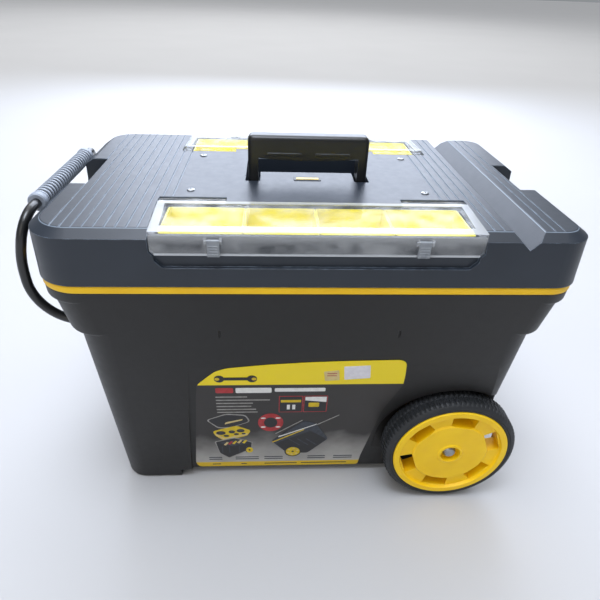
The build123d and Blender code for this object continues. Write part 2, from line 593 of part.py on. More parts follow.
# ---------------------------------------------------------------- pull handle
def make_pull_tube():
    """Bent tube: two straight rods in the tub, rising and leaning in to a cross bar at the top."""
    front = [(ROD_INNER_X, -ROD_Y, ROD_Z), (LOOP_X, -ROD_Y, ROD_Z), (LOOP_X, -ROD_Y, LOOP_LEAN_Z),
             (GRIP_X, -ROD_Y, GRIP_Z)]
    rear = [(x, -y, z) for x, y, z in reversed(front)]
    radii = [LOOP_RISE_R, LOOP_LEAN_R, GRIP_BEND_R]
    path = FilletPolyline(*front, *rear, radius=radii + radii[::-1])
    print("pull tube bend radii", radii, "length", round(path.length, 1))
    end = Plane(origin=front[0], z_dir=(-1, 0, 0))
    section = end * Circle(ROD_R) - end * Circle(ROD_BORE_R)
    return sweep(section, path)


def make_pull_grip():
    """Ribbed sleeve over the cross bar, with a plain collar at each end."""
    half, collar, root = GRIP_HALF_LENGTH, 9.0, GRIP_R - 2.2
    pitch = 2 * (half - collar) / GRIP_RIBS
    sleeve = rod_y(root, GRIP_X, -half, half, GRIP_Z)
    for side in (-1, 1):
        sleeve += rod_y(GRIP_R, GRIP_X, side * half, side * (half - collar), GRIP_Z)
    for rib in range(GRIP_RIBS):
        middle = -half + collar + (rib + 0.5) * pitch
        sleeve += rod_y(GRIP_R, GRIP_X, middle - pitch * 0.27, middle + pitch * 0.27, GRIP_Z)
    return sleeve - rod_y(ROD_R, GRIP_X, -half - 1, half + 1, GRIP_Z)


def make_rod_stops():
    """Stops on the rods' inner ends, which meet the guides when the handle is fully out."""
    stops = []
    for side in (-1, 1):
        stop = rod_x(8.0, ROD_INNER_X, ROD_INNER_X + 6.0, side * ROD_Y, ROD_Z)
        stop += rod_x(ROD_BORE_R - 0.02, ROD_INNER_X - 12.0, ROD_INNER_X, side * ROD_Y, ROD_Z)
        stops.append(stop)
    return Compound(stops)


# ---------------------------------------------------------------- wheels
def make_hub():
    """Front hub: rim barrel, raised middle disc, six windows and a recessed boss."""
    face = -WHEEL_FACE_Y
    back = face + TYRE_WIDTH
    boss_end = -ARCH_FACE_Y - 3.0
    hub = turned_y([(AXLE_R + RUN, face + 9.4), (13.5, face + 9.4), (13.5, face + 0.6), (16.0, face + 0.6),
                    (18.0, face + 2.0), (50.0, face + 2.0), (52.5, face + 4.5), (68.0, face + 4.5),
                    (69.5, face), (HUB_R - 1.2, face), (HUB_R, face + 1.2), (HUB_R, face + 3.0),
                    (HUB_R - 3.0, face + 3.0), (HUB_R - 3.0, back - 1.0), (HUB_R - 7.0, back - 1.0),
                    (HUB_R - 7.0, face + 8.5), (16.5, face + 13.0), (14.0, boss_end),
                    (AXLE_R + RUN, boss_end)], WHEEL_X, WHEEL_R)
    for index in range(WINDOW_COUNT):
        middle = WINDOW_FIRST_ANGLE + 360.0 / WINDOW_COUNT * index
        wall = window_outline(middle, WINDOW_WALL_IN_R, WINDOW_WALL_OUT_R, WINDOW_WALL_HALF_ANGLE)
        hub += prism_y(wall, face + 6.0, face + WINDOW_DEPTH)
        window = window_outline(middle, WINDOW_IN_R, WINDOW_OUT_R, WINDOW_HALF_ANGLE)
        hub -= prism_y(window, face - 2.0, face + WINDOW_DEPTH + 2.0)
    return hub


def window_outline(middle, inner, outer, half_angle):
    """Four corners (x, z) of a hub window about its middle angle, a little narrower at the rim."""
    outline = []
    for radius, turn in ((inner, -1.0), (outer, -0.85), (outer, 0.85), (inner, 1.0)):
        angle = radians(middle + turn * half_angle)
        outline.append((WHEEL_X + radius * cos(angle), WHEEL_R + radius * sin(angle)))
    return outline


def make_tyre():
    """Front tyre: a round-shouldered band gripping the hub's barrel."""
    face = -WHEEL_FACE_Y + 1.5
    back = face + TYRE_WIDTH - 1.0
    seat = HUB_R - 3.0
    tyre = turned_y([(seat, face + 2.0), (HUB_R + 0.3, face + 1.5), (HUB_R + 1.5, face), (83.5, face),
                     (88.0, face + 2.5), (WHEEL_R, face + 7.0), (WHEEL_R, back - 7.0), (88.0, back - 2.5),
                     (83.5, back), (seat, back)], WHEEL_X, WHEEL_R)
    return tyre


# ---------------------------------------------------------------- hinges and latches
def make_hinge_brackets():
    """The tub's halves of the two lid hinges."""
    brackets = []
    for x in HINGE_XS:
        bracket = rod_x(HINGE_R, x - HINGE_HALF_LENGTH, x + HINGE_HALF_LENGTH, HINGE_Y, HINGE_Z)
        bracket += prism_x([(COLLAR_WIDTH / 2, 336.0), (HINGE_Y - 2.0, 340.0), (HINGE_Y + HINGE_R, 352.0),
                            (HINGE_Y - HINGE_R + 0.4, 354.0), (HINGE_Y - HINGE_R + 0.4, 347.5),
                            (COLLAR_WIDTH / 2, 347.5)], x - HINGE_HALF_LENGTH, x + HINGE_HALF_LENGTH)
        gap = HINGE_LEAF_HALF + 0.6
        bracket -= span_box(x - gap, x + gap, COLLAR_WIDTH / 2 + 2.5, HINGE_Y + 8.0, 346.0, 365.0)
        bracket -= rod_x(HINGE_PIN_R, x - 40.0, x + 40.0, HINGE_Y, HINGE_Z)
        brackets.append(bracket)
    return Compound(brackets)


def make_hinge_pins():
    """Pins of the two lid hinges."""
    reach = HINGE_HALF_LENGTH + 1.0
    return Compound([rod_x(HINGE_PIN_R, x - reach, x + reach, HINGE_Y, HINGE_Z) for x in HINGE_XS])


def make_latch(side):
    """End latch: a lever standing in the lid's end notch, hinged on the tub's collar."""
    face = LATCH_PIN_X - 3.5
    profile = [(LATCH_PIN_X - 3.2, LATCH_PIN_Z - 1.0), (LATCH_PIN_X + 3.2, LATCH_PIN_Z - 1.0),
               (LATCH_PIN_X + 2.4, 366.0), (face - 3.0, LATCH_TOP_Z), (LATCH_HOOK_X, LATCH_TOP_Z),
               (LATCH_HOOK_X, LATCH_TOP_Z - 5.0), (face - 7.5, LATCH_TOP_Z - 5.0), (face + 1.8, 364.0)]
    lever = prism_y(profile, LATCH_Y - LATCH_HALF, LATCH_Y + LATCH_HALF)
    lever += rod_y(4.2, LATCH_PIN_X, LATCH_Y - LATCH_HALF, LATCH_Y + LATCH_HALF, LATCH_PIN_Z)
    lever -= rod_y(LATCH_PIN_R + RUN, LATCH_PIN_X, LATCH_Y - 60, LATCH_Y + 60, LATCH_PIN_Z)
    return lever if side > 0 else mirror(lever, Plane.YZ)


def make_latch_brackets():
    """Pairs of ears on the collar's ends that carry the latches."""
    ears = []
    for side in (-1, 1):
        for end in (-1, 1):
            y = LATCH_Y + end * (LATCH_HALF + 3.0)
            ear = rod_y(LATCH_EAR_R, LATCH_PIN_X, y - 2.5, y + 2.5, LATCH_PIN_Z)
            ear += span_box(COLLAR_LENGTH / 2, LATCH_PIN_X, y - 2.5, y + 2.5, LATCH_PIN_Z - LATCH_EAR_R,
                            LATCH_PIN_Z + LATCH_EAR_R)
            ear -= rod_y(LATCH_PIN_R, LATCH_PIN_X, y - 5.0, y + 5.0, LATCH_PIN_Z)
            ears.append(ear if side > 0 else mirror(ear, Plane.YZ))
    return Compound(ears)


def make_latch_pins():
    """The latches' pins."""
    reach = LATCH_HALF + 6.0
    return Compound([rod_y(LATCH_PIN_R, side * LATCH_PIN_X, LATCH_Y - reach, LATCH_Y + reach, LATCH_PIN_Z)
                              for side in (-1, 1)])


# ---------------------------------------------------------------- export
def export_all():
    """Write one STEP per piece, moved to the row's origin."""
    shift = Pos(-(X_LEFT + X_RIGHT) / 2, -(Y_FRONT + Y_REAR) / 2, 0)
    print("shift from the lid's centre", shift.position)
    hub, tyre, clear = make_hub(), make_tyre(), make_clear_lid()
    clips = [make_clip(x) for x in CLIP_XS]
    organiser_pins, front_bin = make_organiser_pins(), make_bin()
    pieces = {
        "tub": make_tub(),
        "seal_strip": make_seal(),
        "lift_out_tray": make_tray(),
        "front_label": make_label(),
        "front_rod_guide": make_rod_guide(-1),
        "rear_rod_guide": make_rod_guide(1),
        "axle": make_axle(),
        "axle_washers": make_axle_washers(),
        "axle_caps": make_axle_caps(),
        "hinge_brackets": make_hinge_brackets(),
        "hinge_pins": make_hinge_pins(),
        "latch_brackets": make_latch_brackets(),
        "latch_pins": make_latch_pins(),
        "lid_shell": make_lid(),
        "lid_screws": make_lid_screws(),
        "badge_plate": make_badge(),
        "front_bin": front_bin,
        "rear_bin": flipped(front_bin),
        "front_organiser_pins": organiser_pins,
        "rear_organiser_pins": flipped(organiser_pins),
        "front_organiser_lid": clear,
        "rear_organiser_lid": flipped(clear),
        "front_left_clip": clips[0],
        "front_right_clip": clips[1],
        "rear_left_clip": flipped(clips[0]),
        "rear_right_clip": flipped(clips[1]),
        "carry_handle": make_carry_handle(),
        "carry_handle_pins": make_carry_pins(),
        "pull_tube": make_pull_tube(),
        "pull_grip": make_pull_grip(),
        "rod_stops": make_rod_stops(),
        "front_hub": hub,
        "front_tyre": tyre,
        "rear_hub": flipped(hub),
        "rear_tyre": flipped(tyre),
        "left_latch": make_latch(-1),
        "right_latch": make_latch(1),
    }
    os.makedirs("parts", exist_ok=True)
    for name, piece in pieces.items():
        solids = [shift * solid for solid in piece.solids()]
        whole = solids[0] if len(solids) == 1 else Compound(solids)
        export_step(whole, os.path.join("parts", name + ".step"))


export_all()
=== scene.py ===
"""Rolling tool chest: surfaces, finishes, floor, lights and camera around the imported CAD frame.

Sizes in this file are millimetres about the chest's centre, with +X towards the wheels, -Y the front and
Z = 0 the floor. The function `in_row` turns them into the row's metres.
"""

import logging
import math
from collections.abc import Callable
from dataclasses import dataclass, field
from enum import Enum
from functools import partial
from typing import Any

import bmesh
import bpy
import numpy as np
from mathutils import Matrix, Vector


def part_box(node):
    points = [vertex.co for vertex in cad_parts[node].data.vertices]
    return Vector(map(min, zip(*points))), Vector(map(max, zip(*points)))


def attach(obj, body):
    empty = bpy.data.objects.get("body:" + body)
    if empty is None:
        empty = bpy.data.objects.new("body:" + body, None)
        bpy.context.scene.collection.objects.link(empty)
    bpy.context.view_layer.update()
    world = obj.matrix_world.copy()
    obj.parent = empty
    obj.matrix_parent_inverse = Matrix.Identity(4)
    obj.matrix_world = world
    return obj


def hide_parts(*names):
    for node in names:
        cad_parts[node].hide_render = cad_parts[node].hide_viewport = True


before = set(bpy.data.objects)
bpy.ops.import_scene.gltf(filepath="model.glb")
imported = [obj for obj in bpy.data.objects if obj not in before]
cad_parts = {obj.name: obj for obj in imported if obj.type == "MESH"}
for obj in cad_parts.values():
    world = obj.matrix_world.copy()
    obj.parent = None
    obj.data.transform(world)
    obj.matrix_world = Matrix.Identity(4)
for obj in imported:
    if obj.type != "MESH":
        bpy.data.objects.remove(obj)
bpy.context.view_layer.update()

MM = 0.001
TURN = 2 * math.pi
LOG = logging.getLogger("tool_chest")
Shape = tuple[np.ndarray, list[list[int]]]  # points in mm, and faces as lists of point numbers
Corners = list[tuple[float, float]]


class Body(Enum):
    """The rigid bodies that the new pieces ride on."""

    CHEST = "chest"
    LID = "lid"
    CARRY = "carry_handle"
    PULL = "pull_handle"
    FRONT_WHEEL = "front_wheel"
    REAR_WHEEL = "rear_wheel"
    LEFT_LATCH = "left_latch"
    RIGHT_LATCH = "right_latch"


# ------------------------------------------------------------------ frame and mesh tools
def chest_centre() -> np.ndarray:
    """The row-frame point, in mm, that the chest's own coordinates are measured from: the tub's middle."""
    low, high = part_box("tub")
    return np.array([(low.x + high.x) / 2, (low.y + high.y) / 2, 0.0]) / MM


CENTRE = chest_centre()


def in_row(points: np.ndarray) -> np.ndarray:
    """Chest coordinates in mm to row coordinates in metres: (p + centre) / 1000."""
    return (np.asarray(points, float) + CENTRE) * MM


def ramp(value: np.ndarray, low: float, high: float) -> np.ndarray:
    """Smooth step from 0 at low to 1 at high: t = clamp((v - low) / (high - low)), then 3 t^2 - 2 t^3."""
    t = np.clip((value - low) / (high - low), 0.0, 1.0)
    return t * t * (3 - 2 * t)


def grid_shape(points: np.ndarray, wrap_rows: bool = False, wrap_columns: bool = False) -> Shape:
    """A grid of points joined by four-sided faces.

    Args:
        points: array of (rows, columns, 3) in mm.
        wrap_rows: join the last row to the first.
        wrap_columns: join the last column to the first.

    Returns:
        The points in one list, and the faces.
    """
    rows, columns = points.shape[:2]
    row, column = np.meshgrid(np.arange(rows if wrap_rows else rows - 1),
                              np.arange(columns if wrap_columns else columns - 1), indexing="ij")
    below, beside = (row + 1) % rows, (column + 1) % columns
    faces = np.stack([row * columns + column, below * columns + column, below * columns + beside,
                      row * columns + beside], axis=-1).reshape(-1, 4)
    return points.reshape(-1, 3), faces.tolist()


def rounded(points: Corners, radius: float, steps: int = 5) -> np.ndarray:
    """A closed outline with its corners eased.

    Each corner P becomes the curve (1-t)^2 A + 2 t (1-t) P + t^2 B, where A and B lie `radius` along the two
    sides, or a little under half a side where that is shorter.

    Args:
        points: corners in order.
        radius: how far each easing reaches along its sides, in mm.
        steps: points on each corner.

    Returns:
        Array of (corners * steps, 2).
    """
    corner = np.array(points, float)
    back, on = np.roll(corner, 1, axis=0) - corner, np.roll(corner, -1, axis=0) - corner
    back_size, on_size = (np.linalg.norm(v, axis=1, keepdims=True) for v in (back, on))
    start = corner + back / back_size * np.minimum(radius, back_size * 0.45)
    end = corner + on / on_size * np.minimum(radius, on_size * 0.45)
    t = np.linspace(0.0, 1.0, steps)[None, :, None]
    curve = (1 - t) ** 2 * start[:, None] + 2 * t * (1 - t) * corner[:, None] + t ** 2 * end[:, None]
    return curve.reshape(-1, 2)


def rectangle(x0: float, x1: float, y0: float, y1: float) -> Corners:
    """The four corners of a rectangle, anticlockwise."""
    return [(x0, y0), (x1, y0), (x1, y1), (x0, y1)]


def ellipse(centre: tuple[float, float], half_u: float, half_v: float, count: int = 40) -> np.ndarray:
    """Points (cu + a cos t, cv + b sin t) round an ellipse."""
    t = np.linspace(0.0, TURN, count, endpoint=False)
    return np.stack([centre[0] + half_u * np.cos(t), centre[1] + half_v * np.sin(t)], axis=1)


def inset(outline: np.ndarray, distance: float) -> np.ndarray:
    """An outline moved inwards by d: each point shifts by d (n1 + n2) / (1 + n1.n2).

    Args:
        outline: array of (corners, 2), anticlockwise.
        distance: d, in mm.

    Returns:
        The smaller outline, with n1 and n2 the inward directions of the two sides that met at each point.
    """
    side = np.roll(outline, -1, axis=0) - outline
    side /= np.linalg.norm(side, axis=1, keepdims=True)
    normal = np.stack([-side[:, 1], side[:, 0]], axis=1)
    before = np.roll(normal, 1, axis=0)
    return outline + distance * (before + normal) / (1 + np.sum(before * normal, axis=1, keepdims=True))


def stacked(rings: list[np.ndarray]) -> Shape:
    """A closed skin through rings, with a flat cap on the first and the last.

    Args:
        rings: arrays of (points, 3) with the same number of points.

    Returns:
        The closed skin.
    """
    points, faces = grid_shape(np.stack(rings), wrap_columns=True)
    count, last = len(rings[0]), len(rings) - 1
    faces.append(list(range(count)))
    faces.append([last * count + number for number in range(count)][::-1])
    return points, faces


def slab(outline: np.ndarray, low: float, high: float, ease: float = 0.0) -> Shape:
    """An (x, y) outline standing from one height to another.

    Args:
        outline: array of (corners, 2), anticlockwise.
        low: z of the bottom in mm.
        high: z of the top.
        ease: how much the top edge is cut back at 45 degrees.

    Returns:
        The closed slab.
    """
    levels = [(0.0, low), (0.0, high - ease), (ease, high)] if ease else [(0.0, low), (0.0, high)]
    rings = []
    for shift, z in levels:
        ring = inset(outline, shift) if shift else outline
        rings.append(np.column_stack([ring, np.full(len(ring), z)]))
    return stacked(rings)


def pole(point: np.ndarray | tuple[float, float, float], count: int) -> np.ndarray:
    """One point repeated as a ring of `count`, which closes a skin there."""
    return np.broadcast_to(np.array(point, float), (1, count, 3))


def swept(path: np.ndarray, radius: float, reference: tuple[float, float, float], sides: int) -> Shape:
    """A round bar carried along a path, with flat ends.

    With T the path's direction and R the reference direction, N = R - (R.T) T made unit and B = T x N, and a
    point is P + r (cos t N + sin t B).

    Args:
        path: array of (points, 3) in mm.
        radius: the bar's radius in mm.
        reference: a direction that the path never takes.
        sides: points round the bar.

    Returns:
        The closed skin.
    """
    tangent = np.gradient(path, axis=0)
    tangent /= np.linalg.norm(tangent, axis=1, keepdims=True)
    hint = np.array(reference, float)
    normal = hint - (tangent @ hint)[:, None] * tangent
    normal /= np.linalg.norm(normal, axis=1, keepdims=True)
    binormal = np.cross(tangent, normal)
    t = np.linspace(0.0, TURN, sides, endpoint=False)[None, :, None]
    rings = path[:, None] + radius * (np.cos(t) * normal[:, None] + np.sin(t) * binormal[:, None])
    return grid_shape(np.concatenate([pole(path[0], sides), rings, pole(path[-1], sides)]), wrap_columns=True)


def mirrored(shape: Shape) -> Shape:
    """The same shape on the rear side: y becomes -y."""
    points, faces = shape
    return points * np.array([1.0, -1.0, 1.0]), faces


def joined(shapes: list[Shape]) -> Shape:
    """Several shapes as one, with the faces renumbered.

    Args:
        shapes: the shapes in order.

    Returns:
        Their points in one list, and their faces.
    """
    offset, faces = 0, []
    for points, own in shapes:
        faces += [[number + offset for number in face] for face in own]
        offset += len(points)
    return np.concatenate([points for points, _ in shapes]), faces


def add_piece(name: str, shapes: list[Shape], material: bpy.types.Material, body: Body,
              replaces: tuple[str, ...] = (), sharp_degrees: float = 35.0) -> bpy.types.Object:
    """Makes one object from closed shapes, and hands it to its body.

    Args:
        name: the piece's name.
        shapes: closed skins in chest millimetres.
        material: its finish.
        body: the CAD body that it moves with.
        replaces: CAD nodes that it stands for.
        sharp_degrees: edges that turn more than this stay sharp.

    Returns:
        The object, at the origin.
    """
    points, faces = joined(shapes)
    mesh = bpy.data.meshes.new(name)
    mesh.from_pydata(in_row(points).tolist(), [], faces)
    work = bmesh.new()
    work.from_mesh(mesh)
    bmesh.ops.remove_doubles(work, verts=work.verts, dist=1e-6)
    bmesh.ops.dissolve_degenerate(work, edges=work.edges, dist=1e-7)
    bmesh.ops.recalc_face_normals(work, faces=work.faces)
    work.to_mesh(mesh)
    work.free()
    mesh.shade_smooth()
    mesh.set_sharp_from_angle(angle=math.radians(sharp_degrees))
    mesh.materials.append(material)
    piece = bpy.data.objects.new(name, mesh)
    bpy.context.scene.collection.objects.link(piece)
    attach(piece, body.value)
    if replaces:
        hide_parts(*replaces)
    LOG.info("%s: %d faces on %s", name, len(mesh.polygons), body.value)
    return piece


# ------------------------------------------------------------------ finishes
def linear(code: str) -> tuple[float, float, float, float]:
    """An sRGB hex colour as linear light: c / 12.92 below 0.04045, else ((c + 0.055) / 1.055) ^ 2.4.

    Args:
        code: six hex digits.

    Returns:
        Red, green and blue from 0 to 1, and a cover of 1.
    """
    parts = []
    for start in (0, 2, 4):
        c = int(code[start:start + 2], 16) / 255
        parts.append(c / 12.92 if c <= 0.04045 else ((c + 0.055) / 1.055) ** 2.4)
    return parts[0], parts[1], parts[2], 1.0


def add_node(tree: bpy.types.NodeTree, kind: str, inputs: dict[str | int, Any] | None = None,
             **settings: Any) -> bpy.types.Node:
    """Adds a node, sets its settings, and sets or links its inputs.

    Args:
        tree: the node tree.
        kind: the node's type name.
        inputs: input name or number to a value, an output socket, or a node whose first output feeds it.
        **settings: the node's own properties.

    Returns:
        The node.
    """
    made = tree.nodes.new(kind)
    for key, value in settings.items():
        setattr(made, key, value)
    for key, value in (inputs or {}).items():
        source = value.outputs[0] if isinstance(value, bpy.types.Node) else value
        if isinstance(source, bpy.types.NodeSocket):
            tree.links.new(source, made.inputs[key])
        else:
            made.inputs[key].default_value = source
    return made


@dataclass(frozen=True)
class Finish:
    """What every finish shares: a name, and a tree that ends in one Principled shader."""

    name: str

    def surface(self, add: Callable[..., bpy.types.Node], place: bpy.types.NodeSocket) -> dict[str, Any]:
        """The finish's own nodes.

        Args:
            add: add_node for this finish's tree.
            place: Object coordinates, which are metres of the row's frame.

        Returns:
            Inputs of the Principled shader.
        """
        raise NotImplementedError

    def build(self) -> bpy.types.Material:
        """Makes the material, with surface() feeding a Principled shader.

        Returns:
            The node material.
        """
        material = bpy.data.materials.new(self.name)
        material.use_nodes = True
        material.node_tree.nodes.clear()
        add = partial(add_node, material.node_tree)
        place = add("ShaderNodeTexCoord").outputs["Object"]
        shader = add("ShaderNodeBsdfPrincipled", self.surface(add, place))
        add("ShaderNodeOutputMaterial", {"Surface": shader})
        return material


@dataclass(frozen=True)
class Moulding(Finish):
    """An injection-moulded thermoplastic: spark-eroded grain, slight colour drift, and paler edges that are
    partly rubbed and partly a painted highlight.

    Attributes:
        base: colour of most of the surface.
        drift: colour that it wanders to.
        rubbed_and_highlight: colour along exposed edges, partly rubbed and partly a painted highlight.
        roughness: middle roughness.
        grain_mm: spacing of the moulded grain. The real 0.3 mm is too fine to show, so it is drawn coarser.
        grain_height_mm: height of the grain.
        drift_mm: size of the colour patches.
        scuff_mm: size of the patches in which the edges turn paler and the gloss changes.
        edge_mm: radius that catches light along an edge.
        coat: weight of the glossy skin.
        line: colour of pale lines in the shallow grooves, a painted highlight, or nothing.
        line_z: heights between which the grooves lie, in mm.
        line_blend_mm: half the height over which a groove's colour comes in.
        ior: refraction of the plastic, about 1.49 for polypropylene.
    """

    base: str
    drift: str
    rubbed_and_highlight: str
    roughness: float = 0.45
    grain_mm: float = 1.2
    grain_height_mm: float = 0.05
    drift_mm: float = 60.0
    scuff_mm: float = 9.0
    edge_mm: float = 1.0
    coat: float = 0.0
    line: str = ""
    line_z: tuple[float, float] = (0.0, 0.0)
    line_blend_mm: float = 0.05
    ior: float = 1.49

    def groove_highlight_share(self, add: Callable[..., bpy.types.Node], place: bpy.types.NodeSocket) -> bpy.types.Node:
        """The painted highlight's share: 1 between the two heights of the grooves, and 0 above and below
        them.

        Args:
            add: add_node for this finish's tree.
            place: Object coordinates.

        Returns:
            The node that gives the share of the painted highlight's colour.
        """
        height = add("ShaderNodeSeparateXYZ", {0: place}).outputs["Z"]
        low, high, blend = self.line_z[0] * MM, self.line_z[1] * MM, self.line_blend_mm * MM
        above = add("ShaderNodeMapRange", {0: height, 1: low - blend, 2: low + blend})
        below = add("ShaderNodeMapRange", {0: height, 1: high + blend, 2: high - blend})
        return add("ShaderNodeMath", {0: above, 1: below}, operation="MULTIPLY")

    def surface(self, add: Callable[..., bpy.types.Node], place: bpy.types.NodeSocket) -> dict[str, Any]:
        """Grain, drift, and paler edges that are partly rubbed and partly a painted highlight.

        The paler edges come in by the product of two shares: how far the eased normal turns from the face's
        own, which is only along edges, and a patchy noise.

        Args:
            add: add_node for this finish's tree.
            place: Object coordinates.

        Returns:
            Inputs of the Principled shader.
        """
        patches = add("ShaderNodeTexNoise", {"Vector": place, "Scale": 1 / (self.drift_mm * MM),
                                             "Detail": 3.0, "Roughness": 0.6})
        drifted = add("ShaderNodeMapRange", {0: patches, 1: 0.35, 2: 0.7})
        clean = add("ShaderNodeMix", {0: drifted, 6: linear(self.base), 7: linear(self.drift)},
                    data_type="RGBA")
        eased = add("ShaderNodeBevel", {"Radius": self.edge_mm * MM}, samples=4)
        facing = add("ShaderNodeNewGeometry").outputs["Normal"]
        turn = add("ShaderNodeVectorMath", {0: eased, 1: facing}, operation="DOT_PRODUCT").outputs["Value"]
        on_edge = add("ShaderNodeMapRange", {0: turn, 1: 0.995, 2: 0.9})
        scuff = add("ShaderNodeTexNoise", {"Vector": place, "Scale": 1 / (self.scuff_mm * MM), "Detail": 2.0})
        edge_patches = add("ShaderNodeMapRange", {0: scuff, 1: 0.35, 2: 0.75})
        # Paler edge colour in patches: partly rubbed plastic and partly a painted highlight.
        rubbing_and_highlight = add("ShaderNodeMath", {0: on_edge, 1: edge_patches}, operation="MULTIPLY")
        colour = add("ShaderNodeMix", {0: rubbing_and_highlight, 6: clean.outputs[2], 7: linear(self.rubbed_and_highlight)}, data_type="RGBA")
        # Pale lines at the grooves' heights are a painted highlight.
        if self.line:
            colour = add("ShaderNodeMix", {0: self.groove_highlight_share(add, place), 6: colour.outputs[2],
                                           7: linear(self.line)}, data_type="RGBA")
        grain = add("ShaderNodeTexNoise", {"Vector": place, "Scale": 1 / (self.grain_mm * MM), "Detail": 1.0})
        bump = add("ShaderNodeBump", {"Strength": 1.0, "Distance": self.grain_height_mm * MM, "Height": grain,
                                      "Normal": eased})
        rough = add("ShaderNodeMapRange", {0: scuff, 1: 0.2, 2: 0.8, 3: self.roughness - 0.03,
                                           4: self.roughness + 0.04})
        return {"Base Color": colour.outputs[2], "Roughness": rough, "IOR": self.ior, "Normal": bump,
                "Coat Weight": self.coat, "Coat Roughness": 0.12}


@dataclass(frozen=True)
class BrushedMetal(Finish):
    """Plated steel or brass with fine brushing along one direction and a soft satin gloss.

    Attributes:
        base: colour of the metal.
        dark: colour in the bottom of a brush line.
        roughness: middle roughness.
        line_mm: spacing of the brush lines. The real 0.1 mm is too fine to show, so it is drawn coarser.
        stretch: how many times longer than wide a line is.
    """

    base: str
    dark: str
    roughness: float = 0.34
    line_mm: float = 0.5
    stretch: float = 12.0

    def surface(self, add: Callable[..., bpy.types.Node], place: bpy.types.NodeSocket) -> dict[str, Any]:
        """Brush lines: a noise stretched along X.

        Args:
            add: add_node for this finish's tree.
            place: Object coordinates.

        Returns:
            Inputs of the Principled shader.
        """
        stretched = add("ShaderNodeMapping", {"Vector": place, "Scale": (1 / self.stretch, 1.0, 1.0)})
        lines = add("ShaderNodeTexNoise", {"Vector": stretched, "Scale": 1 / (self.line_mm * MM),
                                           "Detail": 2.0})
        raised = add("ShaderNodeMapRange", {0: lines, 1: 0.3, 2: 0.7})
        colour = add("ShaderNodeMix", {0: raised, 6: linear(self.dark), 7: linear(self.base)},
                     data_type="RGBA")
        bump = add("ShaderNodeBump", {"Strength": 0.5, "Distance": 0.02 * MM, "Height": lines})
        rough = add("ShaderNodeMapRange", {0: lines, 1: 0.2, 2: 0.8, 3: self.roughness - 0.08,
                                           4: self.roughness + 0.08})
        return {"Base Color": colour.outputs[2], "Metallic": 1.0, "Roughness": rough, "Normal": bump}


@dataclass(frozen=True)
class ClearMoulding(Finish):
    """Clear polystyrene with a milky, scratched skin: thicker and whiter on its rim and hem than on its
    window, partly from the thickness and partly as painted glare, and its side wall whitens upwards as
    painted glare.

    Attributes:
        tint: the plastic's own colour.
        window_alpha: middle cover of the flat window.
        window_haze: cover taken off and put on by the haze.
        rim_alpha: cover of the rim and hem, whiter partly from their thickness and partly as painted glare.
        rim_z_mm: height above which the raised rim lies.
        hem_z_mm: height below which the lower hem lies.
        wall_z_mm: heights between which the side wall grows whiter upwards, a painted glare.
        wall_share: the wall's share of the rim's cover at its top.
        wall_end_mm: heights over which the wall's whiteness ends, just under the window.
        haze_mm: size of the cloudy patches.
        scratch_mm: size of the finer patches in the gloss.
        ior: refraction of polystyrene.
    """

    tint: str = "eef1f4"
    window_alpha: float = 0.09
    window_haze: tuple[float, float] = (0.05, 0.14)
    rim_alpha: float = 0.36
    rim_z_mm: float = 419.7
    hem_z_mm: float = 396.2
    wall_z_mm: tuple[float, float] = (402.0, 416.0)
    wall_share: float = 0.7
    wall_end_mm: tuple[float, float] = (416.1, 416.6)
    haze_mm: float = 22.0
    scratch_mm: float = 3.0
    ior: float = 1.59

    def surface(self, add: Callable[..., bpy.types.Node], place: bpy.types.NodeSocket) -> dict[str, Any]:
        """Cover is the larger of the hazy window's and the edges', and the edges are told by their height.
        The edges' whiteness is partly thickness and partly painted glare, and the wall's rise is painted
        glare.

        Args:
            add: add_node for this finish's tree.
            place: Object coordinates.

        Returns:
            Inputs of the Principled shader.
        """
        height = add("ShaderNodeSeparateXYZ", {0: place}).outputs["Z"]
        # The rim and hem are whiter: partly thicker plastic and partly painted glare.
        rim = add("ShaderNodeMapRange", {0: height, 1: (self.rim_z_mm - 0.2) * MM,
                                         2: (self.rim_z_mm + 0.2) * MM})
        hem = add("ShaderNodeMapRange", {0: height, 1: self.hem_z_mm * MM, 2: (self.hem_z_mm - 0.6) * MM})
        # The side wall whitens upwards: painted glare.
        rising = add("ShaderNodeMapRange", {0: height, 1: self.wall_z_mm[0] * MM, 2: self.wall_z_mm[1] * MM,
                                            4: self.wall_share})
        ending = add("ShaderNodeMapRange", {0: height, 1: self.wall_end_mm[1] * MM,
                                            2: self.wall_end_mm[0] * MM})
        wall = add("ShaderNodeMath", {0: rising, 1: ending}, operation="MULTIPLY")
        ends = add("ShaderNodeMath", {0: rim, 1: hem}, operation="MAXIMUM")
        edge = add("ShaderNodeMath", {0: ends, 1: wall}, operation="MAXIMUM")
        edge_alpha = add("ShaderNodeMath", {0: edge, 1: self.rim_alpha}, operation="MULTIPLY")
        haze = add("ShaderNodeTexNoise", {"Vector": place, "Scale": 1 / (self.haze_mm * MM), "Detail": 4.0})
        window = add("ShaderNodeMapRange", {0: haze, 1: 0.35, 2: 0.75,
                                            3: self.window_alpha - self.window_haze[0],
                                            4: self.window_alpha + self.window_haze[1]})
        alpha = add("ShaderNodeMath", {0: window, 1: edge_alpha}, operation="MAXIMUM")
        fine = add("ShaderNodeTexNoise", {"Vector": place, "Scale": 1 / (self.scratch_mm * MM),
                                          "Detail": 3.0})
        rough = add("ShaderNodeMapRange", {0: fine, 1: 0.3, 2: 0.7, 3: 0.06, 4: 0.16})
        bump = add("ShaderNodeBump", {"Strength": 0.4, "Distance": 0.05 * MM, "Height": haze})
        return {"Base Color": linear(self.tint), "Roughness": rough, "IOR": self.ior, "Alpha": alpha,
                "Normal": bump}


